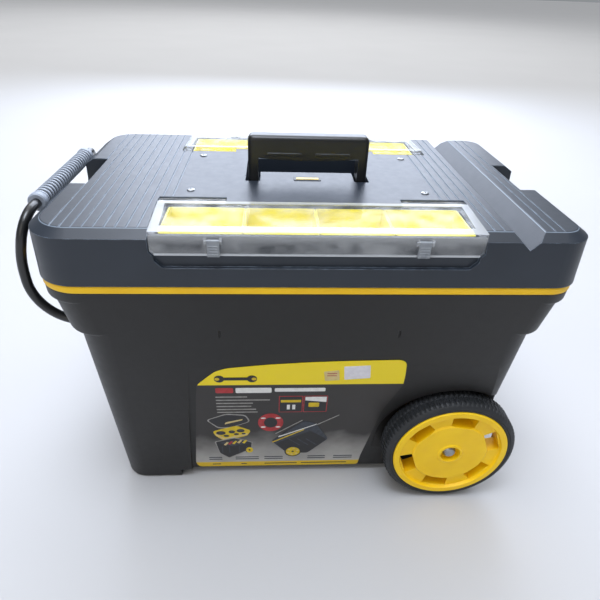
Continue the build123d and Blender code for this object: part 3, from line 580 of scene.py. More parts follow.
@dataclass(frozen=True)
class PrintedVinyl(Finish):
    """Printed self-adhesive vinyl under a thin gloss laminate.

    Attributes:
        head: colour of the band at the top.
        foot: colour of the strip at the bottom.
        dark: ground colour in the upper part.
        pale: warm grey that the ground fades to.
        head_z: height above which the head band lies, in mm.
        foot_z: height below which the foot strip lies, in mm.
        fade: heights at which the ground is wholly dark and wholly pale, in mm.
        blend_mm: half the height over which a band's colour comes in.
        cloud_mm: size of the clouds in the fade.
        cloud_shift_mm: how far a cloud moves the fade up or down.
    """

    name: str = "printed_vinyl_label"
    head: str = "f6dc00"
    foot: str = "e0bc00"
    dark: str = "25211f"
    pale: str = "b4b2ae"
    head_z: float = 203.6
    foot_z: float = 26.5
    fade: tuple[float, float] = (100.0, 28.0)
    blend_mm: float = 0.3
    cloud_mm: float = 45.0
    cloud_shift_mm: float = 12.0

    def surface(self, add: Callable[..., bpy.types.Node], place: bpy.types.NodeSocket) -> dict[str, Any]:
        """Head band, fading ground and foot strip, laid out by height.

        Args:
            add: add_node for this finish's tree.
            place: Object coordinates.

        Returns:
            Inputs of the Principled shader.
        """
        height = add("ShaderNodeSeparateXYZ", {0: place}).outputs["Z"]
        cloud = add("ShaderNodeTexNoise", {"Vector": place, "Scale": 1 / (self.cloud_mm * MM), "Detail": 3.0})
        shift = add("ShaderNodeMapRange", {0: cloud, 1: 0.3, 2: 0.7, 3: -self.cloud_shift_mm * MM,
                                           4: self.cloud_shift_mm * MM})
        level = add("ShaderNodeMath", {0: height, 1: shift}, operation="ADD")
        faded = add("ShaderNodeMapRange", {0: level, 1: self.fade[0] * MM, 2: self.fade[1] * MM})
        ground = add("ShaderNodeMix", {0: faded, 6: linear(self.dark), 7: linear(self.pale)},
                     data_type="RGBA")
        in_head = add("ShaderNodeMapRange", {0: height, 1: (self.head_z - self.blend_mm) * MM,
                                             2: (self.head_z + self.blend_mm) * MM})
        in_foot = add("ShaderNodeMapRange", {0: height, 1: (self.foot_z + self.blend_mm) * MM,
                                             2: (self.foot_z - self.blend_mm) * MM})
        upper = add("ShaderNodeMix", {0: in_head, 6: ground.outputs[2], 7: linear(self.head)},
                    data_type="RGBA")
        colour = add("ShaderNodeMix", {0: in_foot, 6: upper.outputs[2], 7: linear(self.foot)},
                     data_type="RGBA")
        bump = add("ShaderNodeBump", {"Strength": 0.3, "Distance": 0.1 * MM, "Height": cloud})
        rough = add("ShaderNodeMapRange", {0: cloud, 1: 0.3, 2: 0.7, 3: 0.3, 4: 0.42})
        return {"Base Color": colour.outputs[2], "Roughness": rough, "Normal": bump, "Coat Weight": 0.1,
                "Coat Roughness": 0.2}


@dataclass(frozen=True)
class PrintInk(Finish):
    """One printing ink on the label, slightly uneven as screen print is.

    Attributes:
        base: colour of a full layer.
        drift: colour where it is thin.
        patch_mm: size of the thin patches.
    """

    base: str
    drift: str
    patch_mm: float = 6.0

    def surface(self, add: Callable[..., bpy.types.Node], place: bpy.types.NodeSocket) -> dict[str, Any]:
        """Thin and thick patches of ink.

        Args:
            add: add_node for this finish's tree.
            place: Object coordinates.

        Returns:
            Inputs of the Principled shader.
        """
        patch = add("ShaderNodeTexNoise", {"Vector": place, "Scale": 1 / (self.patch_mm * MM), "Detail": 2.0})
        thin = add("ShaderNodeMapRange", {0: patch, 1: 0.35, 2: 0.65})
        colour = add("ShaderNodeMix", {0: thin, 6: linear(self.base), 7: linear(self.drift)},
                     data_type="RGBA")
        rough = add("ShaderNodeMapRange", {0: patch, 1: 0.3, 2: 0.7, 3: 0.32, 4: 0.45})
        return {"Base Color": colour.outputs[2], "Roughness": rough}


@dataclass(frozen=True)
class FloorPaint(Finish):
    """Matt floor paint with a faint, wide mottle.

    Attributes:
        base: colour of most of it.
        drift: colour that it wanders to.
        mottle_mm: size of the patches.
    """

    base: str
    drift: str
    mottle_mm: float = 2000 / 3

    def surface(self, add: Callable[..., bpy.types.Node], place: bpy.types.NodeSocket) -> dict[str, Any]:
        """The mottle.

        Args:
            add: add_node for this finish's tree.
            place: Object coordinates.

        Returns:
            Inputs of the Principled shader.
        """
        mottle = add("ShaderNodeTexNoise", {"Vector": place, "Scale": 1 / (self.mottle_mm * MM)})
        colour = add("ShaderNodeMix", {0: mottle, 6: linear(self.base), 7: linear(self.drift)},
                     data_type="RGBA")
        return {"Base Color": colour.outputs[2], "Roughness": 0.8}


# Polypropylene lid from a spark-eroded mould: blue-grey satin with soft wide highlights, paler corners that
# are partly rubbed and partly a painted highlight, and pale lines in the grooves that are a painted
# highlight.
LID_FINISH = Moulding("moulded_polypropylene_slate", "272e38", "222932", "8796a8", roughness=0.38,
                      grain_mm=1.4, drift_mm=90.0, edge_mm=1.2, line="76828f", line_z=(418.0, 418.6))
# Polypropylene tub: near-black and duller than the lid, with grey edges that are partly rubbed and partly a
# painted highlight.
TUB_FINISH = Moulding("moulded_polypropylene_black", "141312", "181716", "4a4947", roughness=0.46,
                      grain_mm=1.4, drift_mm=110.0, edge_mm=1.6)
# Polyethylene seal strip: an even, slightly waxy yellow with hardly any grain.
SEAL_FINISH = Moulding("moulded_polyethylene_yellow", "fccb00", "f2be00", "ffe060", grain_height_mm=0.03,
                       drift_mm=50.0, edge_mm=0.8)
# Polypropylene hubs: golden yellow, matt enough that their windows and rings read by their shadows.
HUB_FINISH = Moulding("moulded_polypropylene_golden", "ffd200", "f8c800", "ffe760", roughness=0.5,
                      grain_height_mm=0.04, drift_mm=40.0)
# Polystyrene bins from a polished mould: a smooth lemon yellow that shines through the clear lids.
BIN_FINISH = Moulding("moulded_polystyrene_lemon", "f8ee00", "f4e800", "fff899", roughness=0.3,
                      grain_height_mm=0.01, edge_mm=0.6)
# Polypropylene tray: plain charcoal that stays quiet inside the tub.
TRAY_FINISH = Moulding("moulded_polypropylene_charcoal", "26272a", "2c2d30", "505256", roughness=0.5,
                       grain_mm=1.4, drift_mm=80.0)
# Nylon carry handle: black with a hand-polished sheen.
HANDLE_FINISH = Moulding("moulded_nylon_black", "121314", "18191b", "5a616a", roughness=0.32, grain_mm=1.4,
                         grain_height_mm=0.04, drift_mm=40.0, edge_mm=1.4)
# Acetal latches: black, smooth and slightly greasy-looking.
LATCH_FINISH = Moulding("moulded_acetal_black", "161718", "1d1e20", "45484c", roughness=0.38,
                        grain_height_mm=0.03, drift_mm=30.0, edge_mm=0.8)
# Elastomer sleeve: soft light grey without a sharp highlight.
GRIP_FINISH = Moulding("moulded_elastomer_light_grey", "9aa2ae", "8d95a1", "c4ccd6", roughness=0.5,
                       grain_height_mm=0.04, drift_mm=30.0, edge_mm=0.5)
# Powder-coated steel tube: black with a tight highlight along its length. The coat's fine orange peel is
# drawn by the same nodes as a moulding's grain.
TUBE_FINISH = Moulding("powder_coated_steel_black", "131415", "1a1b1d", "3b3e42", roughness=0.3, grain_mm=1.0,
                       grain_height_mm=0.02, drift_mm=50.0, edge_mm=0.3, coat=0.3)
# Hard PVC tyres: dull charcoal, a little greyer along the edges of the lugs, partly rubbed and partly a
# painted highlight.
TYRE_FINISH = Moulding("moulded_hard_pvc_tyre", "1f2123", "282a2d", "55595e", roughness=0.55, grain_mm=1.4,
                       drift_mm=25.0, edge_mm=0.5)
# Polycarbonate clips: smoky grey and glossy, with bright edges that are partly rubbed and partly a painted
# highlight.
CLIP_FINISH = Moulding("moulded_polycarbonate_smoke", "8b9096", "7d8288", "d5dade", roughness=0.28,
                       grain_mm=1.0, grain_height_mm=0.02, drift_mm=20.0, edge_mm=0.4)
# Zinc-plated steel pins, axle and screws: a cool satin glint.
STEEL_FINISH = BrushedMetal("zinc_plated_steel", "b4b7ba", "8d9094")
# Brushed brass plate: a warm glint in the middle of the lid.
BADGE_FINISH = BrushedMetal("brushed_brass_plate", "c0a34e", "8f7a3c", roughness=0.3, line_mm=0.6)
# Clear polystyrene lids: the bins show through a faint haze, inside a whiter frame that is partly thicker
# plastic and partly painted glare.
CLEAR_FINISH = ClearMoulding("clear_polystyrene_moulding")
# Printed vinyl: a yellow head band and foot strip round a dark ground that fades to warm grey.
VINYL_FINISH = PrintedVinyl()
# Painted floor: pale and matt, so that the chest's shadow is soft and nothing mirrors.
FLOOR_FINISH = FloorPaint("matt_painted_floor", "bcbcbd", "c2c2c3")


class Ink(Enum):
    """Screen-print inks on the label, and the paper of its sticker: flat, opaque, a little uneven."""

    WHITE = PrintInk("screen_print_white", "e9e9e6", "dcdcd9")
    GREY = PrintInk("screen_print_grey", "9a9895", "86847f")
    RED = PrintInk("screen_print_red", "b32a2e", "a02226")
    YELLOW = PrintInk("screen_print_yellow", "dcc000", "cfae00")
    BLACK = PrintInk("screen_print_black", "17171a", "202024")
    SLATE = PrintInk("screen_print_slate", "353b46", "2b313b")
    TAN = PrintInk("screen_print_tan", "d8c48a", "cdb777")
    STICKER = PrintInk("paper_sticker_white", "e6e4ea", "dbd9e0")


class Finishes:
    """Builds each finish once and dresses the CAD nodes that stay."""

    NODES = {
        **dict.fromkeys(("tub", "hinge_brackets", "latch_brackets"), TUB_FINISH),
        **dict.fromkeys(("lift_out_tray", "front_rod_guide", "rear_rod_guide", "rod_stops"), TRAY_FINISH),
        **dict.fromkeys(("front_bin", "rear_bin"), BIN_FINISH),
        **dict.fromkeys(("front_hub", "rear_hub"), HUB_FINISH),
        **dict.fromkeys(("front_left_clip", "front_right_clip", "rear_left_clip", "rear_right_clip"),
                        CLIP_FINISH),
        **dict.fromkeys(("left_latch", "right_latch"), LATCH_FINISH),
        **dict.fromkeys(("front_organiser_lid", "rear_organiser_lid"), CLEAR_FINISH),
        **dict.fromkeys(("axle", "axle_washers", "axle_caps", "hinge_pins", "latch_pins", "carry_handle_pins",
                         "front_organiser_pins", "rear_organiser_pins"), STEEL_FINISH),
        "lid_shell": LID_FINISH, "seal_strip": SEAL_FINISH, "carry_handle": HANDLE_FINISH,
        "badge_plate": BADGE_FINISH,
    }

    def __init__(self) -> None:
        """Starts with no material made."""
        self.made: dict[str, bpy.types.Material] = {}

    def get(self, finish: Finish) -> bpy.types.Material:
        """The material of a finish, made on first use.

        Args:
            finish: one of the named finishes.

        Returns:
            Its material, the same one each time.
        """
        if finish.name not in self.made:
            self.made[finish.name] = finish.build()
        return self.made[finish.name]

    def dress_nodes(self) -> None:
        """Gives every CAD node that stays in view its finish."""
        for name, finish in self.NODES.items():
            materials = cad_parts[name].data.materials
            materials.clear()
            materials.append(self.get(finish))
        LOG.info("dressed %d CAD nodes", len(self.NODES))


# ------------------------------------------------------------------ sub-assemblies
@dataclass
class Tyre:
    """A hard tyre with two rows of fine transverse lugs and a ring on each side wall."""

    wheel_x: float = 199.0
    wheel_z: float = 90.4
    face_y: float = -178.5
    width: float = 35.0
    seat_r: float = 74.9
    tread_r: float = 90.4
    wall_r: float = 86.0
    shoulder: tuple[float, float] = (2.0, 5.5)
    groove: tuple[float, float] = (0.7, 1.6)
    lugs: int = 84
    lug_depth: float = 1.7
    lug_slope: tuple[float, float] = (-0.45, 0.15)
    slant: float = 0.10
    around: int = 1008

    def profile(self) -> tuple[np.ndarray, np.ndarray]:
        """The tyre's cross section, from the front seat round the tread to the back seat.

        Returns:
            Radius and y of each point, in mm. The side walls carry a low ring, and the tread is flat.
        """
        half = [(self.seat_r, 2.0), (77.9, 1.6), (79.0, 0.3), (80.6, 0.0), (81.2, 0.7), (82.0, 0.7),
                (82.6, 0.0), (84.2, 0.3), (86.4, 1.4), (88.4, 3.2), (89.8, 5.6)]
        tread = np.linspace(7.0, self.width - 7.0, 29)
        radius = [r for r, _ in half] + [self.tread_r] * len(tread) + [r for r, _ in reversed(half)]
        along = [y for _, y in half] + list(tread) + [self.width - y for _, y in reversed(half)]
        return np.array(radius), np.array(along)

    def shape(self) -> Shape:
        """The front tyre.

        A lug stands where cos(lugs t + phase) is high. The phase turns by half a lug from one row to the
        other and slants across each row, and a plain groove parts the rows. The tread's radius drops by the
        lug depth between the lugs, and not at all on the side walls.

        Returns:
            The closed skin, at (wheel_x + r cos t, y, wheel_z + r sin t).
        """
        radius, along = self.profile()
        t = np.linspace(0.0, TURN, self.around, endpoint=False)[:, None]
        across = (along - self.width / 2)[None, :]
        phase = np.where(across < 0, 0.0, math.pi) + np.abs(across) * self.slant
        lug = ramp(np.cos(self.lugs * t + phase), *self.lug_slope)
        lug = lug * ramp(np.abs(across), *self.groove)
        in_tread = ramp(self.width / 2 - np.abs(across), *self.shoulder) * (radius[None, :] > self.wall_r)
        r = radius[None, :] - self.lug_depth * (1 - lug) * in_tread
        points = np.stack([self.wheel_x + r * np.cos(t), self.face_y + along[None, :] + 0 * t,
                           self.wheel_z + r * np.sin(t)], axis=-1)
        return grid_shape(points, wrap_rows=True, wrap_columns=True)

    def build(self, finishes: Finishes) -> None:
        """Adds both tyres.

        Args:
            finishes: where the material comes from.
        """
        material, front = finishes.get(TYRE_FINISH), self.shape()
        add_piece("front_treaded_tyre", [front], material, Body.FRONT_WHEEL, ("front_tyre",))
        add_piece("rear_treaded_tyre", [mirrored(front)], material, Body.REAR_WHEEL,
                  ("rear_tyre",))


@dataclass
class PullHandle:
    """The bent steel tube with its ribbed sleeve over a black cushion."""

    rod_y: float = 130.0
    rod_z: float = 279.0
    rod_r: float = 5.5
    rod_inner_x: float = 235.0
    loop_x: float = -319.5
    lean_z: float = 359.0
    grip_x: float = -305.3
    grip_z: float = 410.0
    radii: tuple[float, ...] = (55.0, 135.0, 28.0)
    step: float = 4.0
    grip_half: float = 90.0
    grip_r: float = 10.5
    ribs: int = 23
    rib_depth: float = 2.9
    rib_slope: tuple[float, float] = (-0.4, 0.05)
    collar: float = 9.0
    collar_rise: float = 0.7
    end_ease: float = 1.6
    inner_turn: float = math.radians(35.0)
    inner_span: tuple[float, float] = (-0.55, 0.0)
    cushion_half: float = 84.0
    cushion_r: float = 8.6

    def path(self) -> np.ndarray:
        """Centre line of the tube: straight runs joined by arcs.

        At a corner with directions a in and b out and bend radius R, the arc's points are
        C + R (sin s a - cos s n), where n is the unit part of b square to a, C = start + R n, and s runs
        from 0 to the angle between a and b.

        Returns:
            Array of (points, 3) in mm, evenly spaced.
        """
        half = np.array([(self.rod_inner_x, -self.rod_y, self.rod_z), (self.loop_x, -self.rod_y, self.rod_z),
                         (self.loop_x, -self.rod_y, self.lean_z), (self.grip_x, -self.rod_y, self.grip_z)])
        corners = np.concatenate([half, half[::-1] * np.array([1.0, -1.0, 1.0])])
        runs = [corners[:1]]
        radii = self.radii + self.radii[::-1]
        for before, corner, after, radius in zip(corners, corners[1:], corners[2:], radii):
            a = (corner - before) / np.linalg.norm(corner - before)
            b = (after - corner) / np.linalg.norm(after - corner)
            angle = math.acos(float(a @ b))
            n = b - (a @ b) * a
            n /= np.linalg.norm(n)
            start = corner - a * radius * math.tan(angle / 2)
            s = np.linspace(0.0, angle, max(6, int(radius * angle / self.step)))[:, None]
            runs.append(start + radius * (np.sin(s) * a + (1 - np.cos(s)) * n))
        return self.even(np.concatenate([*runs, corners[-1:]]))

    def even(self, line: np.ndarray) -> np.ndarray:
        """The same line with a point about every `step` mm, by its arc length.

        Args:
            line: array of (points, 3) in mm.

        Returns:
            The evenly spaced points.
        """
        length = np.concatenate([[0.0], np.cumsum(np.linalg.norm(np.diff(line, axis=0), axis=1))])
        at = np.linspace(0.0, length[-1], int(length[-1] / self.step))
        return np.stack([np.interp(at, length, line[:, axis]) for axis in range(3)], axis=1)

    def grip(self) -> Shape:
        """Ribbed sleeve round the cross bar.

        Radius = ring - depth * gap(y) * inner(t), where gap is 1 between ribs, inner(t) falls to 0 on the
        side away from the chest, and ring rises by under a millimetre at the collars and eases in at the
        ends.

        Returns:
            The closed skin.
        """
        y = np.linspace(-self.grip_half, self.grip_half, 520)
        span = self.grip_half - self.collar
        wave = np.cos((y + span) / (2 * span) * self.ribs * TURN)
        gap = ramp(wave, *self.rib_slope) * (np.abs(y) < span)
        flare = ramp(np.abs(y), span - 2.0, span + 1.0)
        flare = flare - self.end_ease * ramp(np.abs(y), self.grip_half - 2.0, self.grip_half)
        t = np.linspace(0.0, TURN, 40, endpoint=False)
        inner = ramp(np.cos(t - self.inner_turn), *self.inner_span)
        ring = self.grip_r - self.collar_rise + self.collar_rise * flare
        outer = ring[:, None] - self.rib_depth * gap[:, None] * inner[None, :]
        points = np.stack([self.grip_x + outer * np.cos(t), y[:, None] + 0 * outer,
                           self.grip_z + outer * np.sin(t)], axis=-1)
        ends = [pole((self.grip_x, side * self.grip_half, self.grip_z), len(t)) for side in (-1, 1)]
        return grid_shape(np.concatenate([ends[0], points, ends[1]]), wrap_columns=True)

    def cushion(self) -> Shape:
        """Round cushion under the ribs, that shows in their gaps."""
        line = np.array([(self.grip_x, y, self.grip_z) for y in (-self.cushion_half, self.cushion_half)])
        return swept(line, self.cushion_r, (1.0, 0.0, 0.0), 32)

    def build(self, finishes: Finishes) -> None:
        """Adds the tube, sleeve and cushion. The tube never runs along (1, 0, 1), its reference direction.

        Args:
            finishes: where the materials come from.
        """
        tube = swept(self.path(), self.rod_r, (1.0, 0.0, 1.0), 28)
        add_piece("bent_pull_tube", [tube], finishes.get(TUBE_FINISH), Body.PULL,
                  ("pull_tube",))
        add_piece("ribbed_grip_sleeve", [self.grip()], finishes.get(GRIP_FINISH), Body.PULL,
                  ("pull_grip",))
        add_piece("grip_cushion", [self.cushion()], finishes.get(HANDLE_FINISH), Body.PULL)


@dataclass
class Label:
    """The printed front label, on the leaning panel, with plain generic print.

    Every mark stands a little further off the panel than the marks printed before it, so that the last print
    is the one that shows.
    """

    foot_y: float = 128.8
    foot_z: float = 13.0
    lean: float = 0.1717
    thickness: float = 0.5
    sink: float = 0.05
    first_layer: float = 0.1
    layer: float = 0.004
    marks: dict[Ink, list[tuple[np.ndarray, float]]] = field(default_factory=dict)
    printed: int = 0

    # The vinyl's (x, z) corners in mm, from the left end of the head band down, along and up again.
    OUTLINE = [(-136.0, 204.0), (-139.0, 184.0), (-154.0, 26.0), (-150.0, 15.0), (85.5, 14.5), (87.0, 38.0),
               (103.0, 148.0), (122.0, 201.0), (121.5, 220.0), (119.2, 243.0), (112.0, 248.0), (50.0, 246.7),
               (0.0, 244.5), (-50.0, 240.5), (-98.0, 234.6), (-112.0, 229.0), (-124.0, 217.0)]

    def on_panel(self, outline: np.ndarray, low: float, high: float) -> Shape:
        """An (x, z) outline as a thin plate on the panel.

        The panel is y = -(foot + lean (z - z0)), and its outward direction is (0, -1, -lean) made unit.

        Args:
            outline: array of (corners, 2), x and z in mm.
            low: how far the plate's back stands off the panel, in mm.
            high: how far its face does.

        Returns:
            The closed plate.
        """
        away = np.array([0.0, -1.0, -self.lean]) / math.hypot(1.0, self.lean)
        face = np.stack([outline[:, 0], -(self.foot_y + self.lean * (outline[:, 1] - self.foot_z)),
                         outline[:, 1]], axis=1)
        return stacked([face + away * low, face + away * high])

    def add(self, ink: Ink, outline: np.ndarray | Corners) -> None:
        """Keeps one printed shape for its ink, a layer above everything printed before it.

        Args:
            ink: the ink that prints it.
            outline: its (x, z) corners in mm.
        """
        self.printed += 1
        lift = self.first_layer + self.layer * self.printed
        self.marks.setdefault(ink, []).append((np.array(outline, float), lift))

    def patch(self, ink: Ink, corners: Corners, ease: float) -> None:
        """Prints a flat shape with its corners eased."""
        self.add(ink, rounded(corners, ease))

    def framed(self, frame_ink: Ink, ink: Ink, x0: float, z0: float, x1: float, z1: float) -> None:
        """Prints a box with a border a millimetre wide."""
        self.patch(frame_ink, rectangle(x0, x1, z0, z1), 1.0)
        self.patch(ink, rectangle(x0 + 1, x1 - 1, z0 + 1, z1 - 1), 0.6)

    def bars(self) -> None:
        """Plain bars where a label has its lines of print."""
        for ink, x0, x1, z0, z1 in ((Ink.RED, -114, -92, 188, 198), (Ink.WHITE, -89, -44, 188, 198),
                                    (Ink.WHITE, -40, 24, 190, 197)):
            self.patch(ink, rectangle(x0, x1, z0, z1), 2.0)
        for z, end in ((180, -75), (173.5, -46), (167, -68), (160.5, -70), (154, -64), (148, -62)):
            self.patch(Ink.GREY, rectangle(-115, end, z - 1.1, z + 1.1), 0.8)
        for x0, x1 in ((-134, -115), (-96, -62), (-54, -27), (9, 35), (47, 75)):
            for z in (34.0, 39.0):
                self.patch(Ink.SLATE, rectangle(x0, x1, z - 1.0, z + 1.0), 0.7)
        for x0, x1 in ((-130, -118), (-88, -80), (-54, -6), (0, 68)):
            self.patch(Ink.BLACK, rectangle(x0, x1, 20.2, 22.0), 0.6)

    def spanner(self) -> None:
        """A plain spanner in the head band: a bar between two round ends."""
        self.patch(Ink.BLACK, rectangle(-106, -70, 213.2, 218.2), 1.2)
        for x in (-108.0, -68.0):
            self.add(Ink.BLACK, ellipse((x, 215.7), 6.2, 6.2))
            self.add(Ink.YELLOW, ellipse((x + math.copysign(2.6, x + 88), 215.7), 3.0, 2.6))

    def small_pictures(self) -> None:
        """Two small framed pictures: a lidded box on two legs, and an open lid over a tray."""
        for x0 in (-34.5, -2.5):
            self.framed(Ink.RED, Ink.BLACK, x0, 147, x0 + 31, 181)
        self.add(Ink.YELLOW, rectangle(-32, -6, 168, 173))
        self.add(Ink.WHITE, rectangle(-24, -20, 153, 163))
        self.add(Ink.WHITE, rectangle(-17, -13, 153, 163))
        self.add(Ink.WHITE, [(-0.5, 172), (27, 168), (27, 179), (-0.5, 179)])
        self.patch(Ink.YELLOW, rectangle(4, 18, 158, 167), 2.0)

    def ring(self) -> None:
        """A red ring with four pale marks round it."""
        self.add(Ink.RED, ellipse((-45.0, 124.0), 17.0, 20.0))
        self.add(Ink.BLACK, ellipse((-45.0, 124.0), 9.0, 11.5))
        for t in np.radians([40.0, 140.0, 220.0, 320.0]):
            centre = (-45.0 + 13.0 * math.cos(t), 124.0 + 15.8 * math.sin(t))
            self.add(Ink.WHITE, ellipse(centre, 3.4, 1.5))

    def apart(self) -> None:
        """A chest taken apart: its lid, its tray of small parts, and its tub with tools standing in it."""
        self.patch(Ink.GREY, [(-131, 131), (-104, 145), (-78, 142), (-72, 127), (-98, 113), (-116, 112)], 5)
        self.patch(Ink.BLACK, [(-129, 131), (-104, 143), (-79, 140), (-74, 127), (-98, 115), (-115, 114)], 5)
        self.patch(Ink.TAN, [(-107, 121), (-83, 130), (-82, 133), (-105, 126)], 1.0)
        self.patch(Ink.YELLOW, [(-124, 105), (-92, 118), (-72, 106), (-77, 94), (-110, 82), (-121, 95)], 4)
        self.patch(Ink.TAN, [(-121, 97), (-110, 84), (-77, 96), (-76, 100), (-109, 88), (-120, 101)], 1.0)
        for x, z, half_u, half_v in ((-113, 101, 6.5, 4.5), (-98, 103.5, 4.5, 3.5), (-86, 106, 5.5, 4.0),
                                     (-106, 94, 4.0, 2.6), (-92, 98, 3.6, 2.4), (-82, 99, 2.8, 2.0)):
            self.add(Ink.BLACK, ellipse((x, z), half_u, half_v, 20))
            self.add(Ink.SLATE, ellipse((x + 0.6, z + 0.5), half_u * 0.5, half_v * 0.5, 16))
        self.patch(Ink.GREY, [(-123, 80), (-95, 90), (-70, 78), (-72, 60), (-105, 37), (-118, 50)], 2)
        self.patch(Ink.BLACK, [(-121.5, 79), (-95, 88), (-71.5, 77), (-73, 61), (-105, 39), (-117, 51)], 2)
        self.patch(Ink.SLATE, [(-117, 77), (-95, 84.5), (-75, 75.5), (-98, 68)], 1.0)
        for x, z, ink in ((-111, 72, Ink.TAN), (-105, 74, Ink.RED), (-99, 75, Ink.YELLOW), (-92, 77, Ink.TAN),
                          (-85, 76.5, Ink.YELLOW)):
            self.patch(ink, [(x, z), (x + 5, z + 7), (x + 7.5, z + 5.5), (x + 3, z - 2)], 0.8)
        for x in (-114.0, -104.0, -90.0, -80.0):
            self.add(Ink.SLATE, rectangle(x, x + 1.4, 52.0, 68.0))
        self.add(Ink.YELLOW, ellipse((-75.0, 58.0), 5.0, 7.0))
        self.add(Ink.BLACK, ellipse((-75.0, 58.0), 1.6, 2.2, 16))

    def tipped(self) -> None:
        """A chest tipped on its wheels, with its pull handle out."""
        self.patch(Ink.SLATE, [(-44, 80), (0, 127), (16, 121), (36, 84), (8, 48), (-22, 50)], 5)
        self.patch(Ink.BLACK, [(-38, 74), (10, 104), (34, 83), (8, 49), (-22, 51)], 4)
        self.patch(Ink.WHITE, [(-34, 89), (17, 118), (17.5, 120), (-34.5, 91.5)], 0.6)
        self.patch(Ink.GREY, [(-38, 97), (-2, 128), (-2.5, 129.2), (-39, 98)], 0.4)
        self.patch(Ink.YELLOW, [(-42, 76), (1, 106), (0.5, 108), (-43, 78)], 0.6)
        self.patch(Ink.GREY, [(18, 117), (47, 139), (46.5, 140), (17.5, 118.2)], 0.4)
        wheel = (-13.0, 52.5)
        self.add(Ink.BLACK, ellipse(wheel, 12.0, 13.0))
        self.add(Ink.YELLOW, ellipse(wheel, 10.0, 11.0))
        for t in np.radians(np.arange(20.0, 380.0, 60.0)):
            spot = (wheel[0] + 7.0 * math.cos(t), wheel[1] + 7.7 * math.sin(t))
            self.add(Ink.TAN, ellipse(spot, 1.7, 1.5, 12))
        self.add(Ink.BLACK, ellipse(wheel, 1.8, 2.0, 16))
        for x in (-20.0, -8.0, 4.0):
            self.patch(Ink.SLATE, [(x, 84), (x + 16, 68), (x + 17, 69.5), (x + 1, 85.5)], 0.4)

    def stickers(self) -> None:
        """Two blank stickers in the head band."""
        self.patch(Ink.STICKER, [(46, 213), (78, 216), (75.5, 239), (43.5, 237)], 0.8)
        self.patch(Ink.TAN, [(22, 211), (40, 212.5), (38, 230.5), (19.5, 228)], 0.8)
        for z in (220.0, 224.0):
            self.add(Ink.RED, rectangle(24, 36, z, z + 1.4))

    def build(self, finishes: Finishes) -> None:
        """Adds the vinyl, and one piece for each ink.

        Args:
            finishes: where the materials come from.
        """
        sheet = self.on_panel(rounded(self.OUTLINE, 5.0), 0.02, self.thickness)
        add_piece("front_vinyl_label", [sheet], finishes.get(VINYL_FINISH), Body.CHEST,
                  ("front_label",), 20.0)
        for part in (self.bars, self.small_pictures, self.ring, self.apart, self.tipped, self.stickers,
                     self.spanner):
            part()
        for ink, marks in self.marks.items():
            shapes = [self.on_panel(outline, self.thickness - self.sink, self.thickness + lift)
                      for outline, lift in marks]
            add_piece(f"label_print_{ink.name.lower()}", shapes, finishes.get(ink.value), Body.CHEST,
                      sharp_degrees=20.0)


@dataclass
class LidTrim:
    """Small parts on the lid: screws and the badge's surround."""

    top_z: float = 419.0
    screw_x: float = 138.0
    screw_y: float = 67.0
    screw_r: float = 4.5
    screw_rise: float = 1.9
    dome: float = 0.9
    cross_depth: float = 1.1
    arm_half: tuple[float, float] = (0.35, 0.6)
    arm_reach: tuple[float, float] = (2.2, 2.7)
    badge_x: float = 17.0
    badge_y: tuple[float, float] = (-29.5, -18.5)
    badge_rise: float = 0.7

    def screw(self, x: float, y: float) -> Shape:
        """A pan head with a cross recess.

        Height = rise * sqrt(1 - (dome r / R)^2), less the cross's depth inside two arms that are about half
        a millimetre to each side of their middle line and reach 2.5 mm from the screw's.

        Args:
            x: the screw's middle in mm.
            y: the same, across the lid.

        Returns:
            The closed head.
        """
        radius = np.concatenate([np.linspace(0.0, self.screw_r, 22), [self.screw_r]])[:, None]
        t = np.linspace(0.0, TURN, 64, endpoint=False)[None, :]
        dx, dy = radius * np.cos(t), radius * np.sin(t)
        height = self.screw_rise * np.sqrt(1 - (self.dome * radius / self.screw_r) ** 2) + 0 * t
        arm = np.minimum(np.abs(dx), np.abs(dy))
        cross = (1 - ramp(arm, *self.arm_half)) * (1 - ramp(radius, *self.arm_reach))
        height = height - self.cross_depth * cross
        height[-1] = 0.0
        points = np.stack([x + dx, y + dy, self.top_z + height], axis=-1)
        return grid_shape(np.concatenate([points, pole((x, y, self.top_z), t.size)]), wrap_columns=True)

    def build(self, finishes: Finishes) -> None:
        """Adds the screws and the badge's surround.

        Args:
            finishes: where the materials come from.
        """
        screws = [self.screw(x, y) for x in (-self.screw_x, self.screw_x)
                  for y in (-self.screw_y, self.screw_y)]
        add_piece("pan_head_screws", screws, finishes.get(STEEL_FINISH), Body.LID,
                  ("lid_screws",))
        outline = rounded(rectangle(-self.badge_x, self.badge_x, *self.badge_y), 2.0)
        surround = slab(outline, self.top_z, self.top_z + self.badge_rise, 0.3)
        add_piece("badge_surround", [surround], finishes.get(LATCH_FINISH), Body.LID)


